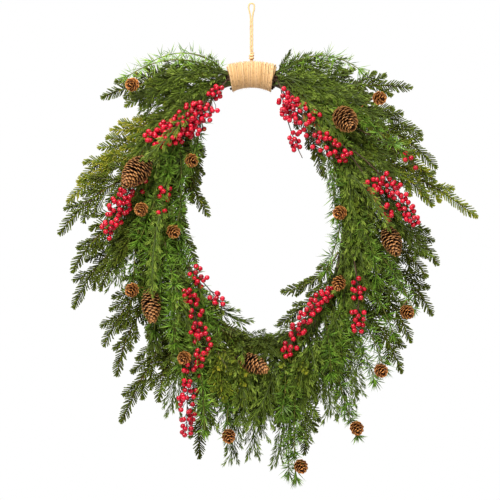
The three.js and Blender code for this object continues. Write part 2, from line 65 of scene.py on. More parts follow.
def addNode(tree, kind, settings=None, inputs=None):
    node = tree.nodes.new(kind)
    for name, value in (settings or {}).items():
        setattr(node, name, value)
    setInputs(tree, node, inputs or {})
    return node


def setStops(ramp, stops):    # stops are (place, hex colour)
    elements = ramp.color_ramp.elements
    while len(elements) < len(stops):
        elements.new(1.0)
    for element, (place, colour) in zip(elements, stops):
        element.position = place
        element.color = linear(colour)


# the camera, level and straight in front of the wreath

view = {
    "middle": (-2.25, -20.0, -371.2),    # what the camera looks at
    "width": 750.0,                      # how much of it fits across the picture
    "distance": 3000.0,
}
camera = bpy.data.objects.new("camera", bpy.data.cameras.new("camera"))
bpy.context.collection.objects.link(camera)
middleX, middleY, middleZ = view["middle"]
camera.location = [c * mm for c in (middleX, middleY - view["distance"], middleZ)]
camera.rotation_euler = (math.radians(90), 0, 0)
camera.data.lens = camera.data.sensor_width * view["distance"] / view["width"]
camera.data.clip_end = 100
bpy.context.scene.camera = camera
bpy.context.scene.view_settings.view_transform = "Standard"

# white studio paper all round, and four soft lights that face the wreath

studio = {
    "paper": 1.0,     # brightness of the paper as the camera sees it
    "around": 0.1,    # brightness of the paper as it lights the wreath
}
lamps = {    # place in metres, watts, size in metres
    "softKey": ((-0.8, -1.7, 1.1), 68.0, 0.5),
    "softFill": ((1.3, -1.8, -0.2), 10.0, 0.5),
    "softTop": ((0.1, -0.2, 3.0), 150.0, 4.0),    # wide, for the sides and the floor
    "softBack": ((-0.7, 2.0, 0.3), 26.0, 1.6),
}
world = bpy.data.worlds.new("studio")
bpy.context.scene.world = world
world.use_nodes = True
seen = addNode(world.node_tree, "ShaderNodeLightPath")
paper = addNode(world.node_tree, "ShaderNodeMix", None, {
    "Factor": seen.outputs["Is Camera Ray"], "A": studio["around"], "B": studio["paper"]})
setInputs(world.node_tree, world.node_tree.nodes["Background"],
          {"Color": (1, 1, 1, 1), "Strength": paper.outputs["Result"]})
for name, (place, power, size) in lamps.items():
    lamp = bpy.data.objects.new(name, bpy.data.lights.new(name, "AREA"))
    bpy.context.collection.objects.link(lamp)
    lamp.data.energy = power
    lamp.data.size = size
    lamp.location = place
    aim = np.array(view["middle"]) * mm - np.array(place)
    tilt = math.acos(-aim[2] / np.linalg.norm(aim))
    lamp.rotation_euler = (tilt, 0, math.atan2(aim[1], aim[0]) - math.pi / 2)
print("studio made")


class Heap:    # the corners and faces of one piece, with what its material reads at each corner
    def __init__(self):
        self.points, self.faces, self.sizes = [], [], []
        self.values = {"tint": [], "along": [], "bark": []}
        self.count = 0

    def add(self, points, faces, **values):
        points = np.asarray(points, float).reshape(-1, 3)
        self.points.append(points)
        for part in faces:
            self.faces.append((np.asarray(part) + self.count).reshape(-1))
            self.sizes.append(np.full(len(part), np.shape(part)[1]))
        for name, held in self.values.items():
            value = np.asarray(values.get(name, 0.0), float)
            held.append(np.broadcast_to(value, (len(points),)))
        self.count += len(points)

    def piece(self, name, material, slot, replaced=(), smooth=True):
        mesh = bpy.data.meshes.new(name)
        points = np.concatenate(self.points) * mm
        corners = np.concatenate(self.faces)
        sizes = np.concatenate(self.sizes)
        mesh.vertices.add(len(points))
        mesh.vertices.foreach_set("co", points.ravel())
        mesh.loops.add(len(corners))
        mesh.loops.foreach_set("vertex_index", corners)
        mesh.polygons.add(len(sizes))
        mesh.polygons.foreach_set("loop_start", np.concatenate([[0], np.cumsum(sizes)[:-1]]))
        mesh.polygons.foreach_set("loop_total", sizes)
        mesh.polygons.foreach_set("use_smooth", np.full(len(sizes), smooth))
        mesh.update(calc_edges=True)
        for label, held in self.values.items():
            layer = mesh.attributes.new(label, "FLOAT", "POINT")
            layer.data.foreach_set("value", np.concatenate(held))
        mesh.materials.append(material)
        made = bpy.data.objects.new(name, mesh)
        bpy.context.collection.objects.link(made)
        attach(made, "root")
        if replaced:
            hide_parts(*replaced)
        return made


def wallsOf(rings):    # quads between each ring of corners and the next
    following = np.roll(rings, -1, axis=-1)
    corners = [rings[..., :-1, :], rings[..., 1:, :], following[..., 1:, :], following[..., :-1, :]]
    return np.stack(corners, axis=-1).reshape(-1, 4)


agedAndShadedLeaves = {"share": 0.4, "darker": 0.38, "spread": 0.12}    # some leaves dark among the new: partly needles of earlier years, mostly painted shade between leaves
paintedDepthShade = {    # painted shade by depth: leaves further back are darker, front ones paler
    "depth": (-50, -24, 0, 25),
    "darker": (-0.12, 0.04, 0.2, 0.34),
}


def leafTints(shade, count, rng):    # how pale each leaf is, from 0 to 1
    tints = shade + rng.normal(0, agedAndShadedLeaves["spread"], count)
    # painted shade: a share of the leaves is darkened, partly standing for older needles
    agedAndShaded = rng.uniform(size=count) < agedAndShadedLeaves["share"]
    return np.clip(tints - agedAndShadedLeaves["darker"] * agedAndShaded, 0, 1)


def addLeaves(heap, feet, ways, outs, lengths, widths, shape, tint, bend=0.0):
    # many slim leaves at once, each closed to a point at both ends; a ring of shape is
    # (share of the length, half width, half thickness), the last two in shares of widths
    rings = np.array(shape["rings"])
    sides = shape["sides"]
    count = len(feet)
    ways = unit(np.asarray(ways, float))
    across = unit(np.cross(ways, outs))
    outs = unit(np.cross(across, ways))
    lengths = np.broadcast_to(np.asarray(lengths, float), (count,))
    widths = np.broadcast_to(np.asarray(widths, float), (count,))
    bends = np.broadcast_to(np.asarray(bend, float), (count,)) * lengths
    turns = np.pi / 2 + 2 * np.pi * np.arange(sides) / sides
    share = rings[:, 0]
    spine = feet[:, None] + ways[:, None] * (lengths[:, None] * share)[..., None]
    spine = spine + outs[:, None] * (bends[:, None] * share ** 2)[..., None]
    wide = ((widths[:, None] * rings[:, 1])[:, :, None] * np.cos(turns))[..., None]
    thick = ((widths[:, None] * rings[:, 2])[:, :, None] * np.sin(turns))[..., None]
    girths = spine[:, :, None] + across[:, None, None] * wide + outs[:, None, None] * thick
    tips = feet + ways * lengths[:, None] + outs * bends[:, None]
    between = len(rings) * sides
    girths = girths.reshape(count, between, 3)
    points = np.concatenate([feet[:, None], girths, tips[:, None]], axis=1)
    each = between + 2
    index = np.arange(count)[:, None] * each
    body = (index + 1 + np.arange(between)).reshape(count, len(rings), sides)
    following = np.roll(body, -1, axis=2)
    root = np.broadcast_to(index, (count, sides))
    tip = root + each - 1
    rootEnd = np.stack([root, body[:, 0], following[:, 0]], axis=-1).reshape(-1, 3)
    tipEnd = np.stack([body[:, -1], tip, following[:, -1]], axis=-1).reshape(-1, 3)
    faces = [wallsOf(body), rootEnd, tipEnd] if len(rings) > 1 else [rootEnd, tipEnd]
    along = np.concatenate([[0], np.repeat(share, sides), [1]])
    # painted shade: leaves that stand further back are darkened
    tint = np.clip(tint - np.interp(feet[:, 1], paintedDepthShade["depth"], paintedDepthShade["darker"]), 0, 1)
    heap.add(points, faces, tint=np.repeat(tint, each), along=np.tile(along, count))


def addTube(heap, points, radii, sides, tint=0.5, bark=0.0, lay=(0, 0.0, 1.0), rise=1.0):
    # one tube along points; lay is (strands, how far they stand out, length of one twist),
    # and rise is what along grows to at the far end
    strands, relief, pitch = lay
    points = np.asarray(points, float)
    radii = np.broadcast_to(np.asarray(radii, float), (len(points),))
    tangents = unit(np.gradient(points, axis=0))
    normal = unit(np.cross(tangents[0], [0.31, 0.87, 0.38]))    # any way that no tube runs
    turns = 2 * np.pi * np.arange(sides) / sides
    gone = np.concatenate([[0], np.cumsum(np.linalg.norm(np.diff(points, axis=0), axis=1))])
    rings = []
    for i, tangent in enumerate(tangents):
        normal = unit(normal - tangent * np.dot(normal, tangent))
        beside = np.cross(tangent, normal)
        lobe = 1 + relief * np.cos(strands * turns + 2 * np.pi * gone[i] / pitch)
        rings.append(points[i] + radii[i] * (
            np.outer(np.cos(turns) * lobe, normal) + np.outer(np.sin(turns) * lobe, beside)))
    index = np.arange(len(points) * sides).reshape(len(points), sides)
    following = np.roll(index, -1, axis=1)
    walls = np.stack([index[:-1], following[:-1], following[1:], index[1:]], axis=-1).reshape(-1, 4)
    along = rise * np.repeat(gone / gone[-1], sides)
    heap.add(np.concatenate(rings), [walls, index[:1, ::-1], index[-1:]], tint=tint, along=along,
             bark=bark)
    return points


def walk(points, distances):    # places and directions at distances along a line of points
    steps = np.linalg.norm(np.diff(points, axis=0), axis=1)
    gone = np.concatenate([[0], np.cumsum(steps)])
    places = np.stack([np.interp(distances, gone, points[:, k]) for k in range(3)], axis=-1)
    tangents = np.gradient(points, gone, axis=0)
    ways = np.stack([np.interp(distances, gone, tangents[:, k]) for k in range(3)], axis=-1)
    return places, unit(ways)


def lineLength(points):
    return float(np.linalg.norm(np.diff(points, axis=0), axis=1).sum())


def leaning(ways, side, angle, turn):
    # away from a twig to one side by an angle, then turned round the twig out of the bough's plane
    angle, turn = np.radians(angle), np.radians(turn)
    outs = unit(front - ways * (ways @ front)[..., None])
    across = np.cross(ways, outs)
    side = np.asarray(side)[..., None] if np.ndim(side) else side
    sine = np.sin(angle)
    leaned = ways * np.asarray(np.cos(angle))[..., None]
    leaned = leaned + side * across * np.asarray(sine * np.cos(turn))[..., None]
    return leaned + outs * np.asarray(sine * np.sin(turn))[..., None], outs


# the ring that carries everything, as the solids have it

ring = {
    "halfWidth": 138.0,
    "halfHeight": 206.0,
    "middle": -312.0,
    "lean": 8.0,      # half of how far its foot stands to the right of its top
    "radius": 10.0,
    "swell": 4.6,     # how much thicker it is under the jute
    "swellWide": 17,  # degrees to each side that this reaches
}


def ringPoint(degrees):    # clockwise from the top
    turn = np.radians(degrees)
    x = ring["halfWidth"] * np.sin(turn) + ring["lean"] * (1 - np.cos(turn))
    return np.stack([x, 0 * x, ring["middle"] + ring["halfHeight"] * np.cos(turn)], axis=-1)


def ringOutward(degrees):
    tangent = unit(ringPoint(degrees + 0.5) - ringPoint(degrees - 0.5))
    return np.stack([-tangent[..., 2], 0 * tangent[..., 0], tangent[..., 0]], axis=-1)


def aroundRing(degrees, turn, distance):    # turn is in radians, from outward to the front
    degrees = np.asarray(degrees, float)
    outward = ringOutward(degrees)
    turn = np.asarray(turn, float)
    distance = np.asarray(distance, float)
    return (ringPoint(degrees) + outward * (distance * np.cos(turn))[..., None]
            + front * (distance * np.sin(turn))[..., None])


def ringGirth(degrees):    # the ring's radius, which swells to both sides of its top
    fromTop = np.minimum(np.abs(degrees), 360 - np.abs(degrees))
    return ring["radius"] + ring["swell"] * np.exp(-((fromTop / ring["swellWide"]) ** 4))


# places that carry cones: the ring's front, away from the jute, and then the middle of each stem
hosts = [ringPoint(np.arange(20, 341, 4.0)) + front * 7]
stem = {
    "points": 41, "carries": slice(12, 37, 4),
    "risen": 0.35,    # share of the stem over which it comes to the depth of its tip
    "sunk": 1,        # how far its root is sunk into the ring
}


def stemPath(at, depth, tip, bow, thickness, inner=False):
    # from the ring's surface, bowed sideways, to the tip
    turn = math.asin(max(-1.0, min(1.0, -depth / ring["radius"])))
    turn = math.pi - turn if inner else turn
    start = aroundRing(at, turn, ring["radius"] + thickness / 2 - stem["sunk"])
    end = np.array(tip, float)
    flat = (end - start) * [1, 0, 1]
    side = np.cross(unit(flat), front)
    bend = (start + end) / 2 + side * 2 * bow
    t = np.linspace(0, 1, stem["points"])[:, None]
    points = start * (1 - t) ** 2 + 2 * bend * t * (1 - t) + end * t ** 2
    rise = np.sin(np.minimum(t[:, 0] / stem["risen"], 1) * np.pi / 2)
    points[:, 1] = start[1] + (end[1] - start[1]) * rise
    hosts.append(points[stem["carries"]])
    return points


# materials; each scale is 1000 over a size in millimetres, as object coordinates are metres

def newMaterial(name, *labels):    # labels are what it reads at each corner of a piece
    material = bpy.data.materials.new(name)
    material.use_nodes = True
    tree = material.node_tree
    read = [addNode(tree, "ShaderNodeAttribute", {"attribute_name": label}) for label in labels]
    return material, tree, tree.nodes["Principled BSDF"], [node.outputs["Fac"] for node in read]


def dress(tree, shader, look, colour, height, extra=()):    # colour, fine relief and gloss
    bump = addNode(tree, "ShaderNodeBump", None, {
        "Height": height, "Strength": look["bumpStrength"], "Distance": look["bumpMm"] * mm})
    setInputs(tree, shader, {
        "Base Color": colour, "Normal": bump.outputs["Normal"], "Roughness": look["roughness"],
        **dict(extra)})


leafWax = {"ior": 1.4, "specularLevel": 0.35, "bumpStrength": 0.35}    # thin, so a soft shine


def leafMaterial(name, look):
    # waxy leaves: darker and greener towards each leaf's root, which is painted shade inside the
    # bough, paler at the tips, brown where there is bark
    look = {**leafWax, **look}
    material, tree, shader, (tint, along, bark) = newMaterial(name, "tint", "along", "bark")
    place = addNode(tree, "ShaderNodeTexCoord")
    patches = addNode(tree, "ShaderNodeTexNoise", None, {
        "Vector": place.outputs["Object"], "Scale": 1000 / look["patchMm"], "Detail": 2.0})
    mixed = addNode(tree, "ShaderNodeMath", {"operation": "MULTIPLY_ADD"}, {
        0: patches.outputs["Fac"], 1: look["patchShare"], 2: tint})
    # painted shade: rise darkens each leaf towards its root, where it sits inside the bough
    risen = addNode(tree, "ShaderNodeMath", {"operation": "MULTIPLY_ADD"}, {
        0: along, 1: look["rise"], 2: mixed.outputs["Value"]})
    shifted = addNode(tree, "ShaderNodeMath", {"operation": "SUBTRACT", "use_clamp": True}, {
        0: risen.outputs["Value"], 1: look["patchShare"] / 2 + 0.6 * look["rise"]})
    leaf = addNode(tree, "ShaderNodeValToRGB", None, {"Fac": shifted.outputs["Value"]})
    setStops(leaf, look["stops"])
    tipShare = addNode(tree, "ShaderNodeMath", {"operation": "MULTIPLY"}, {
        0: along, 1: look["tipShare"]})
    tipped = addNode(tree, "ShaderNodeMix", {"data_type": "RGBA"}, {
        "Factor": tipShare.outputs["Value"], "A": leaf.outputs["Color"], "B": linear(look["tip"])})
    grain = addNode(tree, "ShaderNodeTexNoise", None, {
        "Vector": place.outputs["Object"], "Scale": 1000 / look["barkMm"], "Detail": 4.0})
    twig = addNode(tree, "ShaderNodeValToRGB", None, {"Fac": grain.outputs["Fac"]})
    setStops(twig, look["bark"])
    whole = addNode(tree, "ShaderNodeMix", {"data_type": "RGBA"}, {
        "Factor": bark, "A": tipped.outputs["Result"], "B": twig.outputs["Color"]})
    dress(tree, shader, look, whole.outputs["Result"], grain.outputs["Fac"],
          {"IOR": look["ior"], "Specular IOR Level": look["specularLevel"]})
    return material


# stops go from the darkest leaf to the palest, and patches of one tone are a few centimetres wide;
# the bark's grain is drawn at a millimetre, as its real cracks are too fine to show

# fir needle with its waxy cuticle, grown: satin, each needle a little lighter or darker
firLook = {
    "stops": [(0.0, "#0e1604"), (0.3, "#2a3a0a"), (0.6, "#566818"), (0.82, "#888620"),
              (1.0, "#b4a22e")],
    "tip": "#8f9a34", "tipShare": 0.35, "patchMm": 35, "patchShare": 0.3, "rise": 0.3,
    "bark": [(0.3, "#4a3c1c"), (0.7, "#7a6534")], "barkMm": 1.2, "bumpMm": 0.3, "roughness": 0.42,
}
# cypress scale leaf, grown in flat fans: finer and duller, with paler new tips
cedarLook = {
    "stops": [(0.0, "#081003"), (0.3, "#203206"), (0.6, "#476014"), (0.82, "#6e842c"),
              (1.0, "#92a446")],
    "tip": "#94a63e", "tipShare": 0.4, "patchMm": 40, "patchShare": 0.35, "rise": 0.35,
    "bark": [(0.3, "#33401a"), (0.7, "#5c6a2e")], "barkMm": 1.0, "bumpMm": 0.25, "roughness": 0.6,
}
# larch needle, young and thin: soft bright green
larchLook = {
    "stops": [(0.0, "#0c2003"), (0.3, "#2a5208"), (0.6, "#568816"), (0.82, "#84b034"),
              (1.0, "#b0cc5a")],
    "tip": "#acc956", "tipShare": 0.4, "patchMm": 30, "patchShare": 0.3, "rise": 0.3,
    "bark": [(0.3, "#4c4a1e"), (0.7, "#7b6a34")], "barkMm": 1.2, "bumpMm": 0.2, "roughness": 0.5,
}
firWax = leafMaterial("firNeedleWaxyCuticle", firLook)
cedarWax = leafMaterial("cypressScaleLeafGrown", cedarLook)
larchWax = leafMaterial("larchNeedleGrown", larchLook)

barkLook = {
    "stops": [(0.25, "#1d130b"), (0.55, "#4a3320"), (0.8, "#76573a")],
    "ridgeMm": 3.0, "bumpMm": 0.8, "bumpStrength": 0.8, "roughness": 0.8,
}


def barkMaterial():    # wood with its bark on, dried: dull, with ridges that darken in between
    material, tree, shader, _ = newMaterial("twigBarkDried")
    place = addNode(tree, "ShaderNodeTexCoord")
    ridges = addNode(tree, "ShaderNodeTexNoise", None, {
        "Vector": place.outputs["Object"], "Scale": 1000 / barkLook["ridgeMm"], "Detail": 5.0})
    ramp = addNode(tree, "ShaderNodeValToRGB", None, {"Fac": ridges.outputs["Fac"]})
    setStops(ramp, barkLook["stops"])
    dress(tree, shader, barkLook, ramp.outputs["Color"], ridges.outputs["Fac"])
    return material


juteLook = {
    "fibreMm": 0.9,        # real fibres of a tenth of this are too fine to show
    "fibreShare": 0.6,     # how much they change the colour
    "flecks": (0.62, 0.72), "fleckShare": 0.55,
    "bumpMm": 0.3, "bumpStrength": 0.7, "roughness": 0.9, "sheen": 0.25,
}


def juteMaterial(name, stops, fleckColour, fleckMm):
    # jute fibre, spun and laid into twine: matt and pale, with a soft sheen, flecks and fine fibres
    material, tree, shader, [tint] = newMaterial(name, "tint")
    place = addNode(tree, "ShaderNodeTexCoord")
    fibres = addNode(tree, "ShaderNodeTexNoise", None, {
        "Vector": place.outputs["Object"], "Scale": 1000 / juteLook["fibreMm"], "Detail": 4.0})
    flecks = addNode(tree, "ShaderNodeTexNoise", None, {
        "Vector": place.outputs["Object"], "Scale": 1000 / fleckMm, "Detail": 1.0})
    mixed = addNode(tree, "ShaderNodeMath", {"operation": "MULTIPLY_ADD", "use_clamp": True}, {
        0: fibres.outputs["Fac"], 1: juteLook["fibreShare"], 2: tint})
    colour = addNode(tree, "ShaderNodeValToRGB", None, {"Fac": mixed.outputs["Value"]})
    setStops(colour, stops)
    least, most = juteLook["flecks"]
    fleck = addNode(tree, "ShaderNodeMapRange", None, {
        "Value": flecks.outputs["Fac"], "From Min": least, "From Max": most,
        "To Max": juteLook["fleckShare"]})
    whole = addNode(tree, "ShaderNodeMix", {"data_type": "RGBA"}, {
        "Factor": fleck.outputs["Result"], "A": colour.outputs["Color"], "B": linear(fleckColour)})
    dress(tree, shader, juteLook, whole.outputs["Result"], fibres.outputs["Fac"],
          {"Sheen Weight": juteLook["sheen"]})
    return material


berryLook = {
    "stops": [(0.0, "#640216"), (0.35, "#9c041e"), (0.7, "#c60828"), (1.0, "#de1636")],
    "flowerEnd": "#2a0a08", "dimpleMm": 2.5, "bumpMm": 0.3, "bumpStrength": 0.25,
    "roughness": 0.25, "ior": 1.42, "coat": 0.2, "coatRoughness": 0.1,
}


def berryMaterial():    # berry skin, ripe and taut: glossy, some berries darker, a dark flower end
    material, tree, shader, (tint, bark) = newMaterial("berrySkinRipe", "tint", "bark")
    colour = addNode(tree, "ShaderNodeValToRGB", None, {"Fac": tint})
    setStops(colour, berryLook["stops"])
    whole = addNode(tree, "ShaderNodeMix", {"data_type": "RGBA"}, {
        "Factor": bark, "A": colour.outputs["Color"], "B": linear(berryLook["flowerEnd"])})
    place = addNode(tree, "ShaderNodeTexCoord")
    dimples = addNode(tree, "ShaderNodeTexNoise", None, {
        "Vector": place.outputs["Object"], "Scale": 1000 / berryLook["dimpleMm"], "Detail": 1.0})
    dress(tree, shader, berryLook, whole.outputs["Result"], dimples.outputs["Fac"],
          {"IOR": berryLook["ior"], "Coat Weight": berryLook["coat"],
           "Coat Roughness": berryLook["coatRoughness"]})
    return material


coneLook = {
    "streakMm": 2.0, "streakShare": 0.3, "tints": (0.6, 1.35),    # tints: darkest and palest scale
    "bumpMm": 0.4, "bumpStrength": 0.5, "roughness": 0.55,
}


def coneMaterial(name, stops):    # cone scale, dried and open: dark root that is painted shade between the scales, tan worn lip that is partly its own colour and partly a painted highlight on lit edges, streaks
    material, tree, shader, (tint, along) = newMaterial(name, "tint", "along")
    place = addNode(tree, "ShaderNodeTexCoord")
    streaks = addNode(tree, "ShaderNodeTexNoise", None, {
        "Vector": place.outputs["Object"], "Scale": 1000 / coneLook["streakMm"], "Detail": 4.0})
    mixed = addNode(tree, "ShaderNodeMath", {"operation": "MULTIPLY_ADD"}, {
        0: streaks.outputs["Fac"], 1: coneLook["streakShare"], 2: along})
    shifted = addNode(tree, "ShaderNodeMath", {"operation": "SUBTRACT", "use_clamp": True}, {
        0: mixed.outputs["Value"], 1: 0.2})
    colour = addNode(tree, "ShaderNodeValToRGB", None, {"Fac": shifted.outputs["Value"]})
    setStops(colour, stops)
    darkest, palest = coneLook["tints"]
    value = addNode(tree, "ShaderNodeMapRange", None, {
        "Value": tint, "To Min": darkest, "To Max": palest})
    whole = addNode(tree, "ShaderNodeHueSaturation", None, {
        "Color": colour.outputs["Color"], "Value": value.outputs["Result"]})
    dress(tree, shader, coneLook, whole.outputs["Color"], streaks.outputs["Fac"])
    return material


bark = barkMaterial()
juteWrapped = juteMaterial("juteTwineSpun", [
    (0.0, "#8a6338"), (0.35, "#c0965e"), (0.65, "#dab07a"), (1.0, "#efd0a2")], "#8f6a3c", 3.5)
juteLoop = juteMaterial("juteTwineBleached", [    # bleached, so a little paler than the wrap
    (0.0, "#9a6f3c"), (0.35, "#cba067"), (0.65, "#e2bb82"), (1.0, "#f3d6a6")], "#ad7f48", 4.0)
berrySkin = berryMaterial()
largeScale = coneMaterial("spruceConeScaleDried", [    # grey brown, with painted shade dark at the roots between the scales
    (0.0, "#120802"), (0.5, "#3c210c"), (0.76, "#8a5526"), (1.0, "#dca05a")])
smallScale = coneMaterial("larchConeScaleDried", [    # thinner scales, warmer and paler
    (0.0, "#1c0c04"), (0.42, "#643610"), (0.72, "#b46c2c"), (1.0, "#e8a656")])
print("materials made")

# hanging loop, the free cord: the same route as its solid

twine = {"thickness": 2.4, "lay": (3, 0.1, 7.5), "tint": 0.35}
loopHalf = [
    (-1.3, -72), (-1.3, -64), (-1.4, -55), (-1.3, -46), (-1.4, -37), (-1.3, -29), (-1.4, -21.5),
    (-2.1, -15), (-3.5, -9.6), (-4.3, -4.4), (-3.6, -0.8), (-1.9, 0.8),
]
loopRoute = [(x, 0.0, z) for x, z in loopHalf] + [(0.0, 0.0, 1.2)]
loopRoute += [(-x, 0.0, z) for x, z in reversed(loopHalf)]


def smoothLine(route, step):    # a Catmull-Rom line through the route, as points about a step apart
    knots = np.array(route, float)
    knots = np.concatenate([[2 * knots[0] - knots[1]], knots, [2 * knots[-1] - knots[-2]]])
    line = []
    for a, b, c, d in zip(knots, knots[1:], knots[2:], knots[3:]):
        for t in np.arange(0, 1, 0.1):
            line.append(0.5 * (2 * b + (c - a) * t + (2 * a - 5 * b + 4 * c - d) * t ** 2
                               + (3 * b - a - 3 * c + d) * t ** 3))
    line = np.array(line + [knots[-2]])
    return walk(line, np.linspace(0, lineLength(line), int(lineLength(line) / step)))[0]


heap = Heap()
loopLine = addTube(heap, smoothLine(loopRoute, 0.8), twine["thickness"] / 2, 12, twine["tint"],
                   lay=twine["lay"])
hangingLoop = heap.piece("hangingLoop", juteLoop, "twine", ["hanging_loop"])
print("loop made", round(lineLength(loopLine), 1), "mm")

fibre = {"rings": [(0.5, 1, 1)], "sides": 3, "halfWidth": 0.16, "curl": 0.5}


def addFibres(heap, feet, ways, length, rng, tint=0.6):    # loose fibres that stand off spun jute
    outs = unit(rng.normal(size=feet.shape))
    lengths = length * rng.uniform(0.4, 1, len(feet))
    addLeaves(heap, feet, ways, outs, lengths, fibre["halfWidth"], fibre, tint,
              bend=rng.uniform(-fibre["curl"], fibre["curl"], len(feet)))


knot = {
    "top": -72.3, "bottom": -86.5,
    "coil": 2.6, "turns": 2.2, "tilt": 0.45, "twine": 1.55, "coilTint": 0.4,
    "below": 2.2, "shorter": 5.5,    # the coil starts below the top, and is shorter than the knot
    "tailMiddle": -79, "tailTwine": 1.2, "tailTint": 0.35,
    "fibres": 26, "fibreLength": 3.2,
}


def makeKnot():    # two tilted turns of twine round two tails
    rng = np.random.default_rng(11)
    heap = Heap()
    top, bottom, radius = knot["top"], knot["bottom"], knot["coil"]
    t = np.linspace(0, 1, 60)
    turn = 2 * np.pi * knot["turns"] * t
    tall = bottom - top
    coil = np.stack([
        radius * np.cos(turn), radius * np.sin(turn),
        top - knot["below"] + (tall + knot["shorter"]) * t + knot["tilt"] * radius * np.cos(turn),
    ], axis=-1)
    addTube(heap, coil, knot["twine"], 10, knot["coilTint"], lay=(3, 0.1, 6))
    for side in (-1, 1):
        tail = smoothLine([
            (side * 1.2, 0.4 * side, top - 0.2), (side * 0.9, 0.2, knot["tailMiddle"]),
            (side * 1.4, 0, bottom)], 0.8)
        addTube(heap, tail, knot["tailTwine"], 8, knot["tailTint"], lay=(3, 0.1, 7))
    picks = rng.integers(0, len(coil), knot["fibres"])
    ways = unit(rng.normal(size=(knot["fibres"], 3)))
    addFibres(heap, coil[picks], ways, knot["fibreLength"], rng)
    return heap.piece("loopKnot", juteLoop, "twine", ["loop_knot"])


makeKnot()

wrap = {
    "halfAngle": 13.6, "turns": 27, "outer": 20.3, "twine": 2.5, "lay": (3, 0.12, 6.5),
    "flare": 1.2,        # how much wider both ends are than the middle
    "upright": 0.55,     # how far the sleeve stands upright rather than at right angles to the ring
    "loose": 0.35,       # how unevenly a turn lies
    "tints": (0.05, 0.5),
    "sleeve": 2.2,       # how far the dark layer under the turns lies inside them: painted shade that shows between the turns
    "fibres": 260, "fibreLength": 4.0,
}


def makeWrap():
    rng = np.random.default_rng(5)
    heap = Heap()
    turns, sides, cornersPerTurn = wrap["turns"], 8, 46
    steps = turns * cornersPerTurn
    share = np.linspace(-1, 1, steps)
    gone, whole = np.linspace(0, turns, steps), np.arange(turns + 1)
    loose = np.interp(gone, whole, rng.uniform(-wrap["loose"], wrap["loose"], turns + 1))
    turn = np.linspace(0, 2 * np.pi * turns, steps)
    distance = wrap["outer"] + wrap["flare"] * share ** 2 - wrap["twine"] / 2 + 0.6 * loose
    at = share * wrap["halfAngle"] + 0.5 * loose
    outward = unit(ringOutward(at) * (1 - wrap["upright"]) + up * wrap["upright"])
    line = ringPoint(at) + outward * (distance * np.cos(turn))[:, None]
    line = line + front * (distance * np.sin(turn))[:, None]
    tint = np.repeat(np.interp(gone, whole, rng.uniform(*wrap["tints"], turns + 1)), sides)
    addTube(heap, line, wrap["twine"] / 2, sides, tint, lay=wrap["lay"])
    # a dark sleeve under the turns: painted shade in the gaps between them
    sleeve = np.linspace(-wrap["halfAngle"], wrap["halfAngle"], 24)
    addTube(heap, ringPoint(sleeve), wrap["outer"] - wrap["sleeve"], 24, 0.0)
    picks = rng.integers(0, steps, wrap["fibres"])
    feet = line[picks]
    away = unit(feet - ringPoint(share[picks] * wrap["halfAngle"]))
    ways = unit(away + rng.normal(scale=0.7, size=away.shape))
    addFibres(heap, feet + away, ways, wrap["fibreLength"], rng, 0.5)
    return heap.piece("juteWrap", juteWrapped, "jute", ["jute_wrap"])


makeWrap()
print("jute made")

# stem ring: bent stems wound together, with cut ends beside the jute

stems = {
    "strands": 7, "strand": 4.4, "twists": 3.0, "core": 5.5,
    "cutEnds": 22, "cutRadii": (1.2, 2.3), "cutReach": (1.5, 6.5), "cutFromMiddle": (9, 15.5),
}


def makeRing():
    rng = np.random.default_rng(3)
    heap = Heap()
    degrees = np.linspace(0, 360, 161)
    for k in range(stems["strands"]):
        wave = sum(rng.uniform(0.2, 0.6) * np.sin(np.radians(degrees) * n + rng.uniform(0, 6.28))
                   for n in (2, 5, 9))
        turn = 2 * np.pi * k / stems["strands"] + np.radians(degrees * stems["twists"])
        turn = turn + 0.12 * wave
        distance = ringGirth(degrees) - stems["strand"] + 0.5 * wave - 0.3
        radii = stems["strand"] * (1 + 0.08 * np.roll(wave, 40))
        addTube(heap, aroundRing(degrees, turn, distance), radii, 7, 0.5, bark=1.0)
    addTube(heap, ringPoint(degrees), stems["core"], 8, 0.3, bark=1.0)
    for k in range(stems["cutEnds"]):
        side = 1 if k % 2 else -1
        turn = rng.uniform(0, 2 * np.pi)
        reach = rng.uniform(*stems["cutReach"])
        distance = rng.uniform(*stems["cutFromMiddle"])
        ends = np.array([side * 9.0, side * (14.0 + reach / 2.4)])
        line = aroundRing(ends, np.array([turn, turn]), np.array([distance, distance]))
        addTube(heap, line, rng.uniform(*stems["cutRadii"]), 7, 0.4, bark=1.0)
    return heap.piece("stemRing", bark, "stem", ["stem_ring"])


makeRing()
print("ring made")

# leaves on twigs; a ring is (share of the length, half width, half thickness)

bluntNeedle = {"rings": [(0.14, 0.85, 0.55), (0.88, 0.8, 0.5)], "sides": 3}
slimNeedle = {"rings": [(0.4, 1.0, 0.9)], "sides": 3}
scaleLeaf = {"rings": [(0.55, 1.0, 0.8)], "sides": 3}

fir = {
    "pitch": 1.1, "length": 13.0, "width": 1.3,
    "angle": 49, "angleSpread": 4,            # degrees from the twig
    "raised": 14, "raisedSpread": 18,         # degrees out of the bough's plane
    "topEvery": 3, "topRaised": (35, 145),    # one needle in three stands on top
    "fromRoot": 8.0, "fromTip": 16.0,         # needles get shorter over these lengths
    "stem": (1.9, 0.7), "shootStem": (0.9, 0.5), "droop": 0.05,    # radii at root and tip
    "shoots": (0.12, 0.5),                    # the first pair, and from there to the last one
    "shootAngle": (22, 9),                    # the least, and how much more it may be
}


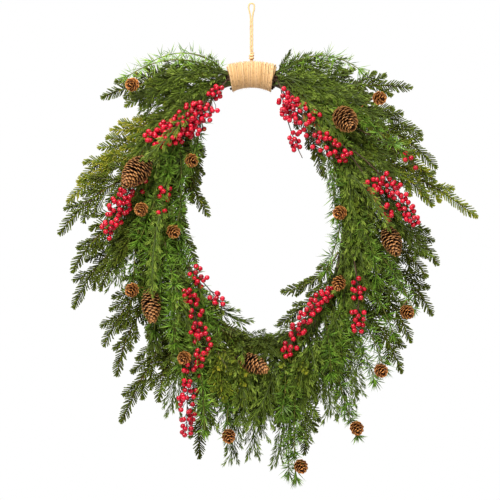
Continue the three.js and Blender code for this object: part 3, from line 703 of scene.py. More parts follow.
def firComb(heap, line, first, rng, shade):    # needles left and right of a twig, some on top of it
    length = lineLength(line)
    distances = np.arange(first, length - 1, fir["pitch"])
    if len(distances) < 2:
        return
    count = len(distances)
    places, ways = walk(line, distances)
    order = np.arange(count)
    fromTip = np.clip((length - distances) / fir["fromTip"], 0, 1)
    onTop = order % fir["topEvery"] == 2
    side = np.where((order - order // 3) % 2, 1.0, -1.0)
    angle = fir["angle"] * (0.6 + 0.4 * fromTip) + rng.normal(0, fir["angleSpread"], count)
    turn = np.where(onTop, rng.uniform(*fir["topRaised"], count),
                    rng.normal(fir["raised"], fir["raisedSpread"], count))
    angle = np.where(onTop, 0.75 * angle, angle)
    directions, outs = leaning(ways, side, angle, turn)
    grown = np.clip((distances - first) / fir["fromRoot"], 0.6, 1) * (0.62 + 0.38 * fromTip)
    grown = grown * rng.uniform(0.88, 1.08, count)
    widths = fir["width"] * rng.uniform(0.85, 1.1, count)
    # painted light: needles on top of the twig are paler, as if they catch more light
    tint = leafTints(shade + 0.1 * onTop, count, rng)
    lengths = fir["length"] * grown * np.where(onTop, 0.8, 1)
    addLeaves(heap, places, directions, outs, lengths, widths, bluntNeedle, tint,
              bend=rng.uniform(-0.14, 0.02, count))
    # four needles close the tip
    places, ways = walk(line, np.full(4, length - 0.5))
    directions, outs = leaning(ways, np.array([1, -1, 1, -1]), np.array([5, 8, 24, 24]),
                               rng.uniform(-20, 50, 4))
    addLeaves(heap, places, directions, outs, fir["length"] * rng.uniform(0.5, 0.65, 4),
              fir["width"] * 0.85, bluntNeedle, np.clip(shade + 0.1, 0, 1))


def curvedShoot(start, way, out, length, droop, rng):    # a slightly curved line for a side shoot
    t = np.linspace(0, 1, 9)[:, None]
    bow = np.cross(way, out) * rng.uniform(-0.08, 0.08) + np.array([0, 0, -1.0]) * droop
    return start + way * length * t + bow * length * t ** 2


def firBough(heap, row, rng, shade):    # a comb along the stem, and one along each pair of shoots
    line = stemPath(row["at"], row["depth"], row["tip"], row["bow"], 4.4, row["inner"])
    length = lineLength(line)
    addTube(heap, line[::4], np.linspace(*fir["stem"], len(line[::4])), 5, 0.3, bark=1.0)
    firComb(heap, line, row.get("bare", 0.25) * length, rng, shade)
    lowest, spread = fir["shoots"]
    least, more = fir["shootAngle"]
    for i in range(row["shoots"]):
        t = lowest + spread * i / max(row["shoots"] - 1, 1)
        later = 1 if i % 2 else -1    # this side's shoot leaves the stem a little further on
        for side in (later, -later):
            angle = least + more * rng.uniform()
            places, ways = walk(line, np.array([t * length + (8 if side == later else 0)]))
            directions, outs = leaning(ways, side, angle, 4 + rng.normal(0, 5))
            shoot = curvedShoot(places[0], directions[0], outs[0], row["reach"] * (1.0 - 0.7 * t),
                                fir["droop"], rng)
            addTube(heap, shoot[::4], np.linspace(*fir["shootStem"], 3), 4, 0.3, bark=0.7)
            firComb(heap, shoot, 7, rng, shade)


cedar = {
    "leaf": 17.0, "leafWidth": 0.8, "leafPitch": 3.2,
    "leafAngle": 17, "leafSpread": 5, "raised": 14, "raisedSpread": 20,
    "forked": 0.6, "fork": 0.5, "forkAngle": 19,    # share of leaves that fork, and a fork's length
    "twigs": 7.5, "angle": 23, "angleSpread": 5, "droop": 0.06,
    "stem": (1.8, 0.7), "twigStem": (0.75, 0.4),
}


def cedarTwig(heap, line, rng, shade, pitch):    # one twig with fine forked leaves on both sides
    length = lineLength(line)
    distances = np.arange(2.0, length, pitch)
    count = len(distances)
    if not count:
        return
    places, ways = walk(line, distances)
    side = np.where(np.arange(count) % 2, 1.0, -1.0)
    toTip = distances / length
    angle = cedar["leafAngle"] + rng.normal(0, cedar["leafSpread"], count)
    turn = rng.normal(cedar["raised"], cedar["raisedSpread"], count)
    directions, outs = leaning(ways, side, angle, turn)
    lengths = cedar["leaf"] * (1.05 - 0.5 * toTip) * rng.uniform(0.75, 1.2, count)
    tint = leafTints(shade + 0.22 * toTip, count, rng)
    widths = cedar["leafWidth"] * rng.uniform(0.85, 1.15, count)
    addLeaves(heap, places, directions, outs, lengths, widths, scaleLeaf, tint,
              bend=rng.uniform(-0.12, 0.12, count))
    # forks, most of them on the same side as their leaf
    forked = np.flatnonzero(rng.uniform(size=count) < cedar["forked"])
    forkFeet = (places + directions * (lengths * rng.uniform(0.3, 0.6, count))[:, None])[forked]
    forkSide = np.where(rng.uniform(size=count) < 0.6, side, -side)
    forkWays, _ = leaning(directions, forkSide, cedar["forkAngle"] + rng.normal(0, 6, count),
                          rng.normal(10, 20, count))
    addLeaves(heap, forkFeet, forkWays[forked], outs[forked], (lengths * cedar["fork"])[forked],
              cedar["leafWidth"] * 0.9, scaleLeaf, np.clip(tint[forked] + 0.06, 0, 1))
    # three leaves close the tip
    tipFeet, tipWays = walk(line, length - np.array([0.5, 2.5, 5.0]))
    tipDirections, tipOuts = leaning(tipWays, np.array([1.0, -1.0, 1.0]), np.array([2.0, 8.0, 9.0]),
                                     rng.uniform(0, 25, 3))
    addLeaves(heap, tipFeet, tipDirections, tipOuts, cedar["leaf"] * 0.6, cedar["leafWidth"],
              scaleLeaf, leafTints(shade + 0.2, 3, rng))


def cedarBough(heap, row, rng, shade):
    # a flat fan: twigs left and right of the stem, longest near its root
    line = stemPath(row["at"], row["depth"], row["tip"], row["bow"], 4.0, row["inner"])
    length = lineLength(line)
    pitch = row.get("pitch", cedar["leafPitch"])
    addTube(heap, line[::4], np.linspace(*cedar["stem"], len(line[::4])), 5, 0.3, bark=1.0)
    cedarTwig(heap, line[int(0.2 * len(line)):], rng, shade, pitch)
    first = row.get("bare", 0.06) * length
    distances = np.arange(first, 0.93 * length, row.get("twigs", cedar["twigs"]))
    for i, distance in enumerate(distances):
        t = distance / length
        places, ways = walk(line, np.array([distance]))
        angle = cedar["angle"] + rng.normal(0, cedar["angleSpread"])
        directions, outs = leaning(ways, 1 if i % 2 else -1, angle, rng.normal(8, 14))
        reach = row["reach"] * (1.0 - 0.6 * t) * rng.uniform(0.8, 1.1)
        shoot = curvedShoot(places[0], directions[0], outs[0], reach, cedar["droop"], rng)
        addTube(heap, shoot[::4], np.linspace(*cedar["twigStem"], 3), 3, 0.4, bark=0.6)
        cedarTwig(heap, shoot, rng, np.clip(shade + rng.normal(0, 0.16), 0, 1), pitch)


larch = {
    "whorl": 14.0, "steps": (0.65, 1.4),     # between two tufts, and how unevenly
    "needles": 20, "tipNeedles": 6, "length": 21.5, "width": 0.88,
    "angle": 62, "angleSpread": 13, "spur": 1.3, "stem": (1.3, 0.7),
}


def larchSpray(heap, row, rng, shade):
    # tufts of thin needles that spread like stars, with short bare twigs between
    line = stemPath(row["at"], row["depth"], row["tip"], row["bow"], 3.4, row["inner"])
    length = lineLength(line)
    addTube(heap, line[::4], np.linspace(*larch["stem"], len(line[::4])), 5, 0.4, bark=0.8)
    first = row.get("bare", 0.1) * length
    steps = row.get("whorl", larch["whorl"]) * rng.uniform(*larch["steps"], 40)
    tufts = first + np.concatenate([[0], np.cumsum(steps)])
    for distance in np.append(tufts[tufts < length - 6], length - 1):
        last = distance > length - 2
        count = row.get("needles", larch["needles"]) + (larch["tipNeedles"] if last else 0)
        spread = rng.normal(0, 1.6, count)
        places, ways = walk(line, np.clip(distance + spread, 0, length))
        if not last:    # a spur turns its tuft from along the twig to the front
            push = larch["spur"] * rng.uniform(0.5, 1.6)
            ways = unit(ways + push * (front + 0.5 * rng.normal(size=3)))
        angle = (rng.uniform(10, 70, count) if last
                 else larch["angle"] + rng.normal(0, larch["angleSpread"], count))
        turn = np.arange(count) * goldenAngle + rng.normal(0, 15, count)
        directions, outs = leaning(ways, 1.0, angle, turn)
        tuft = larch["length"] * rng.uniform(0.75, 1.15)
        lengths = tuft * rng.uniform(0.7, 1.1, count)
        widths = row.get("width", larch["width"]) * rng.uniform(0.8, 1.15, count)
        tint = leafTints(shade, count, rng)
        addLeaves(heap, places, directions, outs, lengths, widths, slimNeedle, tint,
                  bend=rng.uniform(-0.12, 0.12, count))


# the boughs that stand for solids: where the root sits on the ring in degrees clockwise from the
# top, its depth there, the tip, how far the stem bows sideways, then for fir how many pairs of
# shoots, for fir and cedar how far the side shoots reach, and last how yellow the bough has turned

firRows = [
    (-26, 7, (-223, 12, -139), 14, 4, 54, 0.1), (-38, 1, (-208, -4, -190), -12, 4, 50, 0.65),
    (-56, 7, (-259, 14, -268), 16, 4, 56, 0.75), (-72, 1, (-287, -4, -344), 18, 4, 58, 0.05),
    (-94, 7, (-268, 14, -455), 20, 4, 58, 0.0), (-113, 1, (-221, -2, -512), 10, 4, 52, -0.05),
    (-132, 7, (-196, 12, -629), 6, 4, 56, 0.0), (-158, 5, (-79, 6, -682), 10, 4, 54, 0.0),
    (28, 7, (238, 12, -125), -4, 4, 52, 0.1), (46, 1, (276, -2, -244), -18, 4, 56, 0.0),
    (64, 7, (338, 12, -319), -13, 5, 50, 0.7), (88, 1, (279, -2, -390), -16, 4, 54, 0.0),
    (104, 7, (272, 14, -466), -16, 4, 54, 0.0), (124, 2, (225, 2, -552), -12, 4, 54, 0.0),
    (163, 5, (80, 8, -676), -10, 4, 52, 0.0),
]
cedarRows = [
    (-20, -6, (-165, -16, -148), 16, 54, 0.0), (20, -6, (168, -16, -152), -16, 54, 0.0),
    (-84, -6, (-204, -18, -420), 12, 54, 0.0), (58, -6, (214, -18, -262), -14, 56, 0.0),
    (96, -6, (212, -18, -440), -12, 56, 0.0), (-146, -6, (-118, -18, -610), 14, 56, 0.0),
    (177, -6, (6, -16, -676), 10, 60, 0.0), (146, -6, (140, -18, -622), -14, 58, 0.0),
]
larchRows = [
    (-17, -2, (-186, -30, -112), 22, 0.42), (17, -2, (160, -30, -100), -22, 0.42),
    (48, -10, (112, -30, -402), -27, 0.05), (-62, -8, (-176, -32, -424), 14, 0.0),
    (156, -8, (66, -30, -712), 6, 0.0), (132, -8, (158, -32, -648), 12, 0.0),
]

# boughs of the same kinds that lie between those, without solids of their own

moreFir = [
    (-30, 3, (-187, 2, -151), 10, 4, 44, 0.3), (-62, 4, (-274, 2, -296), 14, 4, 50, 0.6),
    (-82, 4, (-269, 0, -401), 14, 4, 50, 0.0), (-88, -4, (-226, -10, -428), 10, 4, 44, 0.0),
    (-118, 4, (-203, 4, -557), 16, 4, 40, -0.05), (-138, 4, (-140, 0, -596), 10, 4, 44, 0.0),
    (38, 4, (254, 2, -196), -12, 4, 48, 0.05), (52, 4, (274, -4, -266), -14, 4, 44, 0.3),
    (60, 2, (271, -6, -301), -12, 4, 44, 0.25), (112, 4, (239, 0, -506), -12, 4, 48, 0.0),
    (30, -2, (107, -10, -256), -4, 3, 32, -0.05), (94, 2, (262, -8, -408), -8, 4, 44, 0.0),
    (108, 2, (50, 0, -434), -13, 3, 26, 0.1), (122, 2, (44, 4, -482), -4, 3, 28, 0.1),
    (-58, 2, (-67, 0, -316), 8, 3, 32, 0.1), (-48, 4, (-80, 6, -264), -2, 3, 26, 0.1),
    (-76, 2, (-84, 2, -394), 6, 3, 28, 0.05), (-54, 0, (-92, -4, -292), -4, 3, 26, 0.0),
]
moreCedar = [
    (-14, -8, (-100, -24, -120), 12, 44, 0.0), (-17, -10, (-120, -30, -160), 8, 48, 0.05),
    (-22, -8, (-115, -26, -200), 4, 46, -0.05), (14, -8, (112, -24, -112), -12, 44, 0.0),
    (18, -10, (140, -30, -150), -8, 48, 0.05), (26, -8, (200, -24, -186), -12, 50, 0.0),
    (40, -8, (178, -28, -290), -8, 52, 0.05), (62, -8, (215, -30, -341), -10, 52, 0.0),
    (74, -8, (170, -28, -384), -10, 50, 0.1), (76, -4, (253, -14, -374), -12, 50, 0.0),
    (92, -8, (148, -28, -452), -8, 48, 0.05), (-174, -6, (-30, -18, -688), 6, 44, -0.05),
    (168, -6, (38, -18, -691), -8, 52, 0.0), (160, -8, (73, -26, -656), -8, 54, 0.05),
    (150, -8, (118, -28, -616), -8, 52, 0.0), (136, -6, (158, -24, -584), -8, 50, 0.0),
    (-124, -6, (-8, -14, -480), 5, 36, 0.0), (-150, -4, (-34, -10, -492), 8, 36, -0.15),
    (176, -4, (44, -8, -502), 8, 20, -0.15), (-44, -8, (-172, -26, -236), 8, 50, 0.0),
    (-94, -8, (-152, -26, -456), 8, 48, 0.0), (-108, -6, (-142, -20, -516), 8, 48, -0.05),
    (-164, -10, (-16, -66, -528), -6, 20, 0.1), (72, -10, (203, -64, -338), -6, 22, 0.1),
    (-86, -10, (-146, -66, -436), 6, 20, 0.1), (-40, -10, (-160, -68, -236), -6, 20, 0.15),
    (-78, -6, (-208, -16, -372), 10, 50, 0.0), (-152, -8, (-62, -24, -636), 8, 50, 0.0),
    (-160, -8, (-30, -26, -596), -6, 46, 0.0), (178, -8, (20, -26, -600), 6, 48, 0.05),
]
moreLarch = [
    (-15, 0, (-150, -14, -88), 20, 0.5), (15, 0, (128, -14, -96), -14, 0.5),
    (-36, -10, (-92, -40, -244), -8, -0.1), (-34, -10, (-130, -40, -262), 6, -0.1),
    (-56, -10, (-110, -40, -330), -6, -0.1), (124, -8, (198, -30, -548), -8, 0.0),
    (-120, -8, (-101, -40, -556), 6, 0.0), (98, -8, (241, -30, -458), -10, 0.05),
    (-166, -8, (-35, -34, -646), 6, -0.05), (34, -10, (222, -34, -222), -10, 0.0),
    (84, -10, (186, -40, -416), -8, 0.0), (-100, -8, (-66, -34, -478), -8, 0.0),
    (64, -10, (126, -36, -322), 4, 0.05), (-92, -10, (-150, -40, -402), 8, -0.05),
    (150, -10, (110, -34, -560), 8, -0.1), (-140, -10, (-60, -36, -560), -8, -0.1),
    (112, -8, (212, -34, -496), -8, 0.0), (134, -8, (184, -34, -566), -8, 0.0),
    (155, -8, (56, -24, -706), 8, 0.1), (-132, -8, (-70, -44, -640), -6, 0.1),
]

columns = {
    "fir": ("at", "depth", "tip", "bow", "shoots", "reach", "gold"),
    "cedar": ("at", "depth", "tip", "bow", "reach", "gold"),
    "larch": ("at", "depth", "tip", "bow", "gold"),
}
airy = {"needles": 15, "width": 0.66, "whorl": 15.0}    # the larch sprays above the jute


def asRow(values, kind):
    row = dict(zip(columns[kind], values))
    x, _, z = row["tip"]
    beside = (x - ring["lean"]) / ring["halfWidth"]
    above = (z - ring["middle"]) / ring["halfHeight"]
    row["inner"] = beside ** 2 + above ** 2 < 1    # the tip is in the wreath's hole
    if kind == "larch" and abs(row["at"]) < 20:
        row.update(airy)
    return row


grow = {    # what makes a bough, of which leaf, and how pale
    "fir": (firBough, firWax, 0.46),
    "cedar": (cedarBough, cedarWax, 0.46),
    "larch": (larchSpray, larchWax, 0.52),
}
tables = {
    "fir": (firRows, moreFir), "cedar": (cedarRows, moreCedar), "larch": (larchRows, moreLarch),
}
for kind, (maker, material, shade) in grow.items():
    for rows, word, seed in zip(tables[kind], ("Bough", "Filler"), (100, 300)):
        for i, values in enumerate(rows):
            row = asRow(values, kind)
            heap = Heap()
            maker(heap, row, np.random.default_rng(seed + i), shade + row["gold"])
            replaced = [f"{kind}_{i + 1:02d}"] if word == "Bough" else ()
            heap.piece(f"{kind}{word}{i + 1:02d}", material, kind, replaced, smooth=False)
    print(kind, "boughs made")

# short sprays that cover the ring itself, in lanes from its inner side round the front to the back

cover = {
    "from": 15, "to": 180, "every": 6.6, "jitter": 2.5,    # degrees from the top, on both sides
    "sector": 33,             # degrees that one piece takes up
    "length": 104, "lengths": (0.8, 1.2),
    "tipJitter": 8, "bow": (-9, 3), "shadeJitter": 0.14,
    "twigs": 8.5, "pitch": 3.4, "bare": 0.04, "shoots": 3,
    "reach": 34, "lowReach": 10,       # low is the foot of the ring, where sprays reach wider
    "lowFrom": 140, "innerDarker": 0.16, "innerDarkerFrom": 145,
}
lanes = [    # depths of root and tip, then how much a spray leans outward, sways and falls, and shade: painted shade that makes the front lane paler and the deeper lanes darker, the back lane darkest
    {"inner": True, "depth": -5, "tip": -24, "outward": 0.0, "sway": 0.1, "fall": 0.2,
     "shade": -0.12},
    {"inner": False, "depth": -9, "tip": -36, "outward": 0.12, "sway": 0.42, "fall": 0.9,
     "shade": 0.08},
    {"inner": False, "depth": -3, "tip": -20, "outward": 0.62, "sway": 0.25, "fall": 0.9,
     "shade": -0.05},
    {"inner": False, "depth": 5, "tip": 4, "outward": 0.35, "sway": 0.25, "fall": 0.9,
     "shade": -0.25},
]
innerEdge = {    # along the ring: how far the inner lane leans outward, and how long it is
    "at": (-180, -150, -120, -90, -60, -40, -15, 15, 50, 95, 115, 150, 180),
    "lean": (-0.5, -0.5, -0.35, -0.3, -0.35, -0.1, 0.05, 0.15, 0.2, 0.15, -0.35, -0.5, -0.5),
    "length": (0.75, 0.75, 0.8, 0.8, 0.8, 0.7, 0.6, 0.6, 0.55, 0.6, 0.8, 0.75, 0.75),
}
mixes = {    # share of larch, and share up to which the rest is fir; what is left is cypress
    "top": (0.0, 0.0), "back": (0.0, 0.5), "foot": (0.12, 0.2), "left": (0.4, 0.55),
    "right": (0.25, 0.35),
}


def coverKind(at, lane, rng):
    draw = rng.uniform()
    where = "top" if abs(at) < 34 else "back" if lane == 3 else "foot" if abs(at) > 145 else (
        "left" if at < 0 else "right")
    larchTo, firTo = mixes[where]
    return "larch" if draw < larchTo else "fir" if draw < firTo else "cedar"


rng = np.random.default_rng(900)
heaps = {}
for handed in (-1, 1):
    for degrees in np.arange(cover["from"], cover["to"], cover["every"]):
        for lane, form in enumerate(lanes):
            inner = form["inner"]
            at = handed * (degrees + rng.uniform(-cover["jitter"], cover["jitter"]))
            kind = coverKind(at, lane, rng)
            away = handed * unit(ringPoint(at + 0.5) - ringPoint(at - 0.5))
            fall = math.sin(math.radians(degrees) / 2) * form["fall"]
            lean = np.interp(at, innerEdge["at"], innerEdge["lean"]) if inner else form["outward"]
            lean += rng.uniform(-form["sway"], form["sway"])
            flow = unit(away * (1 - 0.9 * fall) - up * fall + ringOutward(at) * lean)
            length = cover["length"] * rng.uniform(*cover["lengths"])
            length *= np.interp(at, innerEdge["at"], innerEdge["length"]) if inner else 1.0
            tip = ringPoint(at) + flow * length
            tip[1] = form["tip"] + rng.uniform(-cover["tipJitter"], cover["tipJitter"])
            row = {
                "at": at, "depth": form["depth"], "tip": tip, "inner": inner,
                "bow": handed * rng.uniform(*cover["bow"]), "shoots": cover["shoots"],
                "reach": cover["reach"] + cover["lowReach"] * (degrees > cover["lowFrom"]),
                "twigs": cover["twigs"], "pitch": cover["pitch"], "bare": cover["bare"],
            }
            maker, material, shade = grow[kind]
            # painted shade: lanes that lie further back or on the inner side are darker
            shade += form["shade"]
            shade += -cover["innerDarker"] if inner and degrees > cover["innerDarkerFrom"] else 0.0
            sector = int((degrees - cover["from"]) // cover["sector"]) + 1
            name = f"{kind}Cover{'L' if handed < 0 else 'R'}{sector}"
            heap = heaps.setdefault(name, (Heap(), material, kind))[0]
            jitter = rng.uniform(-cover["shadeJitter"], cover["shadeJitter"])
            maker(heap, row, rng, shade + jitter)
for name, (heap, material, kind) in heaps.items():
    heap.piece(name, material, kind, smooth=False)
print("cover made")

# berries on wiry sprays

berry = {
    "radius": 3.9, "gap": 7.0, "foremost": -72.0,    # gap is the least between two middles
    "rows": 8, "sides": 12, "topFlat": 0.9, "footFlat": 0.95,
    "stem": (1.1, 0.7), "stalk": 0.5,
    "clump": 8, "clumpSpread": 0.045,      # berries in a clump, and its half length as a share
    "angle": 60, "angleSpread": 12, "around": (-25, 205), "least": 6,
    "shade": 0.62, "shadeSpread": 0.14,
}
berryRows = [    # root on the ring, tip, bow, how many, how far they spread, where they start
    (-16, (-146, -50, -206), -16, 100, 25, 0.38), (16, (140, -44, -232), 14, 58, 20, 0.1),
    (-60, (-216, -38, -344), 10, 54, 19, 0.42), (57, (246, -42, -334), -12, 38, 14, 0.5),
    (-119, (-70, -46, -540), -8, 38, 17, 0.2), (-142, (-96, -44, -640), 8, 42, 16, 0.3),
    (121, (50, -44, -526), 8, 46, 16, 0.15), (101, (158, -46, -494), -6, 20, 11, 0.45),
]
moreBerries = [
    (18, (76, -34, -234), 6, 20, 9, 0.25), (50, (206, -44, -322), -4, 18, 10, 0.5),
    (-108, (-40, -36, -458), -4, 20, 13, 0.35), (-70, (-140, -40, -322), -4, 9, 10, 0.5),
    (46, (244, -34, -244), -8, 4, 6, 0.85), (20, (104, -40, -180), 10, 22, 16, 0.35),
    (-15, (-92, -44, -160), -8, 16, 10, 0.15),
]


def addBerries(heap, middles, ways, tints):    # round berries, each with a small dark flower end
    rows, sides = berry["rows"], berry["sides"]
    down = np.linspace(0, np.pi, rows)
    turns = 2 * np.pi * np.arange(sides) / sides
    girth = np.stack([np.cos(turns), np.sin(turns), 0 * turns], axis=-1)
    profile = np.sin(down)[:, None, None] * girth
    profile = profile + np.cos(down)[:, None, None] * np.array([0, 0, 1.0])
    profile[0] *= berry["topFlat"]
    profile[-1] *= berry["footFlat"]
    index = np.arange(rows * sides).reshape(rows, sides)
    following = np.roll(index, -1, axis=1)
    first, last = np.full(sides, index[0, 0]), np.full(sides, index[-1, 0])
    faces = [
        wallsOf(index[1:-1]),
        np.stack([first, index[1], following[1]], axis=-1),
        np.stack([index[-2], last, following[-2]], axis=-1),
    ]
    dark = np.zeros((rows, sides))
    dark[0] = 1.0
    for middle, way, tint in zip(middles, ways, tints):
        side = unit(np.cross(way, [0.2, 0.3, 0.93]))
        turn = np.stack([side, np.cross(way, side), way])
        points = middle + berry["radius"] * profile.reshape(-1, 3) @ turn
        heap.add(points, faces, tint=tint, bark=dark.ravel())


def makeBerries(name, values, seed, replaced):
    at, tip, bow, wanted, spread, start = values
    rng = np.random.default_rng(seed)
    line = stemPath(at, -ring["radius"], tip, bow, 3.0)
    length = lineLength(line)
    fruit, stalks = Heap(), Heap()
    addTube(stalks, line[::2], np.linspace(*berry["stem"], len(line[::2])), 6, 0.4, bark=1.0)
    middles, ways = [], []
    groups = max(2, wanted // berry["clump"])
    clumps = start + (1 - start) * (np.arange(groups) + rng.uniform(0.3, 0.9)) / groups
    for attempt in range(wanted * 20):
        if len(middles) == wanted:
            break
        t = min(max(rng.choice(clumps) + rng.normal(0, berry["clumpSpread"]), start), 1.0)
        places, tangents = walk(line, np.array([t * length]))
        atRoot, atTip = min(1, 0.35 + 1.3 * t), min(1, 2.6 * (1.15 - t))    # both ends are narrower
        reach = (spread - berry["least"]) * rng.uniform() ** 1.2 * atRoot * atTip
        reach = berry["least"] + reach
        angle = berry["angle"] + rng.normal(0, berry["angleSpread"])
        directions, _ = leaning(tangents, 1.0, angle, rng.uniform(*berry["around"]))
        middle = places[0] + directions[0] * reach
        middle[1] = max(middle[1], berry["foremost"])
        if middles and np.linalg.norm(np.array(middles) - middle, axis=1).min() < berry["gap"]:
            continue
        middles.append(middle)
        ways.append(directions[0])
        back = walk(line, np.array([max(t * length - 0.5 * reach, 0)]))[0][0]
        mid = (back + middle) / 2 + unit(rng.normal(size=3)) * 0.08 * reach
        stalk = np.array([back, middle])
        if reach > 9:    # long stalks are curved
            curved = smoothLine([back, mid, middle - directions[0] * 3.5], 4.0)
            stalk = curved if len(curved) > 1 else stalk
        addTube(stalks, stalk, berry["stalk"], 5, 0.4, bark=1.0)
    tints = np.clip(berry["shade"] + rng.normal(0, berry["shadeSpread"], len(middles)), 0, 1)
    addBerries(fruit, middles, ways, tints)
    fruit.piece(name, berrySkin, "berry", replaced)
    stalks.piece(name + "Stalks", bark, "stem")


for i, values in enumerate(berryRows):
    makeBerries(f"berrySpray{i + 1:02d}", values, 500 + i, [f"berries_{i + 1:02d}"])
for i, values in enumerate(moreBerries):
    makeBerries(f"berryFiller{i + 1:02d}", values, 600 + i, ())
print("berries made")

# cones on their stalks

largeCone = {
    "length": 54.0, "radius": 20.0, "core": 8.0,
    "scales": 165, "scale": 10.5, "scaleWidth": 3.7, "grid": (4, 4),
}
smallCone = {
    "length": 22.0, "radius": 10.4, "core": 3.2,
    "scales": 42, "scale": 7.0, "scaleWidth": 3.0, "grid": (4, 4),
}
coneForm = {    # what both kinds share; outlines are at shares of a scale's length
    "widths": ([0, 0.6, 0.88, 1], [0.45, 1.0, 0.9, 0.42]),
    "thickness": ([0, 0.7, 1], [0.16, 0.14, 0.1]),
    "cup": 0.16, "curl": 1.45, "foot": 0.4,    # foot is the share of the core where scales start
    # the core keeps the darkest colours: painted shade deep between the scales
    "tint": 0.5, "tintSpread": 0.18, "coreTint": 0.2, "coreRise": 0.3,
    "stalk": 0.2, "stalkTint": 0.4, "stalkRise": 0.8, "neck": 5,
}
largeRows = [    # middle, where the tip points, length, radius
    ((-172, -58, -257), (-0.6, -0.4, -0.68), 56, 19.5),
    ((140, -48, -178), (0.42, -0.72, -0.55), 48, 18),
    ((209, -46, -359), (0.3, -0.5, -0.8), 48, 15),
    ((-149, -48, -455), (0.08, -0.3, -0.95), 52, 15),
    ((4, -46, -541), (0.85, -0.34, -0.4), 48, 14.5),
]
smallRows = [    # middle, where the tip points
    ((-178, -42, -125), (-0.3, -0.8, -0.2)), ((-89, -44, -238), (0.4, -0.8, -0.3)),
    ((-164, -50, -311), (-0.2, -0.9, -0.3)), ((-116, -44, -344), (0.3, -0.8, -0.4)),
    ((-178, -46, -431), (-0.4, -0.8, -0.3)), ((-100, -48, -532), (-0.2, -0.9, -0.3)),
    ((-34, -40, -649), (0.1, -0.8, -0.6)), ((74, -40, -694), (0.2, -0.8, -0.5)),
    ((157, -42, -637), (0.2, -0.8, -0.5)), ((193, -44, -551), (0.3, -0.8, -0.4)),
    ((232, -42, -464), (0.4, -0.7, -0.4)), ((130, -44, -421), (-0.3, -0.6, -0.7)),
    ((131, -48, -316), (-0.4, -0.8, -0.3)), ((191, -42, -145), (0.4, -0.8, -0.2)),
]


def scaleFaces(rows, columns):    # a scale's upper and under side as grids, and its rim
    index = np.arange(rows * columns).reshape(rows, columns)
    other = index + rows * columns
    top = [index[:-1, :-1], index[:-1, 1:], index[1:, 1:], index[1:, :-1]]
    below = [other[:-1, :-1], other[1:, :-1], other[1:, 1:], other[:-1, 1:]]
    rim = np.concatenate([index[0, :], index[1:, -1], index[-1, -2::-1], index[-2:0:-1, 0]])
    rimNext = np.roll(rim, -1)
    edge = [rim, rim + rows * columns, rimNext + rows * columns, rimNext]
    return [np.stack(quads, axis=-1).reshape(-1, 4) for quads in (top, below, edge)]


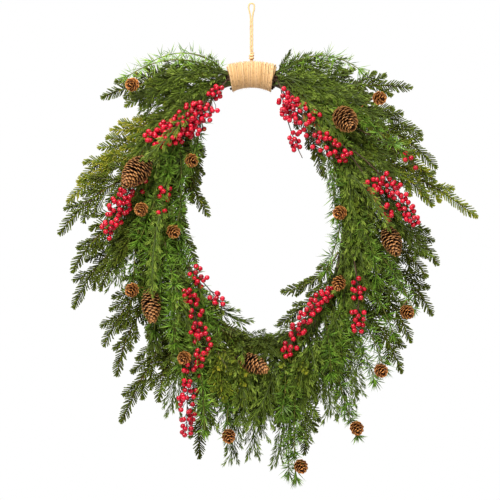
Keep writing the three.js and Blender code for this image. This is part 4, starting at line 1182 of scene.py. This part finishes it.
def makeCone(name, row, size, material, slot, replaced, seed):
    # woody scales in a spiral round a slim core, and a stalk to the nearest stem
    rng = np.random.default_rng(seed)
    heap = Heap()
    if len(row) > 2:
        share = row[2] * row[3] / (size["length"] * size["radius"])
        size = dict(size, length=row[2], radius=row[3], scales=int(size["scales"] * share),
                    core=size["core"] * share)
    toward = unit(np.array(row[1], float))
    base = np.array(row[0], float) - toward * size["length"] / 2
    across = unit(np.cross(toward, [0.31, 0.2, 0.93]))
    beside = np.cross(toward, across)
    core = base + toward * np.linspace(0, size["length"] * 0.94, 12)[:, None]
    girth = size["core"] * np.sin(np.pi * np.linspace(0.14, 0.97, 12))
    addTube(heap, core, girth, 10, coneForm["coreTint"], rise=coneForm["coreRise"])
    rows, columns = size["grid"]
    v, u = np.linspace(0, 1, rows), np.linspace(-1, 1, columns)
    faces = scaleFaces(rows, columns)
    along = np.tile(np.repeat(v, columns), 2)
    curl = coneForm["curl"]
    thick = size["scaleWidth"] * np.interp(v, *coneForm["thickness"])
    for k in range(size["scales"]):
        share = (k + 0.5) / size["scales"]
        turn = np.radians(goldenAngle * k)
        out = across * math.cos(turn) + beside * math.sin(turn)
        side = np.cross(toward, out)
        girth = size["radius"] * math.sin(math.pi * (0.2 + 0.72 * share))
        reach = girth - size["core"] * coneForm["foot"]
        lift = size["scale"] * (0.05 + 0.7 * share)
        foot = base + toward * (size["length"] * (0.02 + 0.84 * share))
        foot = foot + out * size["core"] * coneForm["foot"]
        wide = size["scaleWidth"] * (0.75 + 0.5 * math.sin(math.pi * share)) * rng.uniform(0.9, 1.1)
        tint = np.clip(coneForm["tint"] + rng.normal(0, coneForm["tintSpread"]), 0, 1)
        out = unit(out + side * rng.normal(0, 0.07) + toward * rng.normal(0, 0.06))
        spine = foot + out * (reach * np.sin(v * curl) / math.sin(curl))[:, None]
        spine = spine + toward * (lift * v ** 1.6)[:, None]
        spread = np.interp(v, *coneForm["widths"]) * wide
        cup = coneForm["cup"] * wide * (1 - u ** 2)
        normal = unit(np.cross(side, np.gradient(spine, axis=0)))
        grid = spine[:, None] + side * (spread[:, None] * u)[..., None]
        grid = grid + normal[:, None] * cup[None, :, None]
        half = normal[:, None] * thick[:, None, None] / 2
        points = np.concatenate([(grid + half).reshape(-1, 3), (grid - half).reshape(-1, 3)])
        heap.add(points, faces, tint=tint, along=along)
    neck = base - toward * coneForm["neck"]
    carriers = np.concatenate(hosts)
    nearest = carriers[np.argmin(np.linalg.norm(carriers - neck, axis=1))]
    stalk = smoothLine([base + toward * 3, base, neck, nearest], 3.0)
    addTube(heap, stalk, size["core"] * coneForm["stalk"], 7, coneForm["stalkTint"],
            rise=coneForm["stalkRise"])
    return heap.piece(name, material, slot, replaced)


cones = {    # which rows, size, surface, and the first seed
    "large": (largeRows, largeCone, largeScale, 700),
    "small": (smallRows, smallCone, smallScale, 720),
}
for kind, (rows, size, material, seed) in cones.items():
    for i, row in enumerate(rows):
        makeCone(f"{kind}Cone{i + 1:02d}", row, size, material, f"{kind}_cone",
                 [f"{kind}_cone_{i + 1:02d}"], seed + i)
print("cones made")

# the floor, well below the wreath: matt paint, rolled on, so pale and without a shine

floorMesh = bpy.data.meshes.new("floor")
floorCorners = [(-4, -4, -1.5), (4, -4, -1.5), (4, 4, -1.5), (-4, 4, -1.5)]    # metres
floorMesh.from_pydata(floorCorners, [], [(0, 1, 2, 3)])
floor = bpy.data.objects.new("floor", floorMesh)
bpy.context.collection.objects.link(floor)
floorPaint, floorTree, floorShader, _ = newMaterial("floorPaintMatt")
setInputs(floorTree, floorShader, {"Base Color": linear("#eceae6"), "Roughness": 0.9})
floorMesh.materials.append(floorPaint)
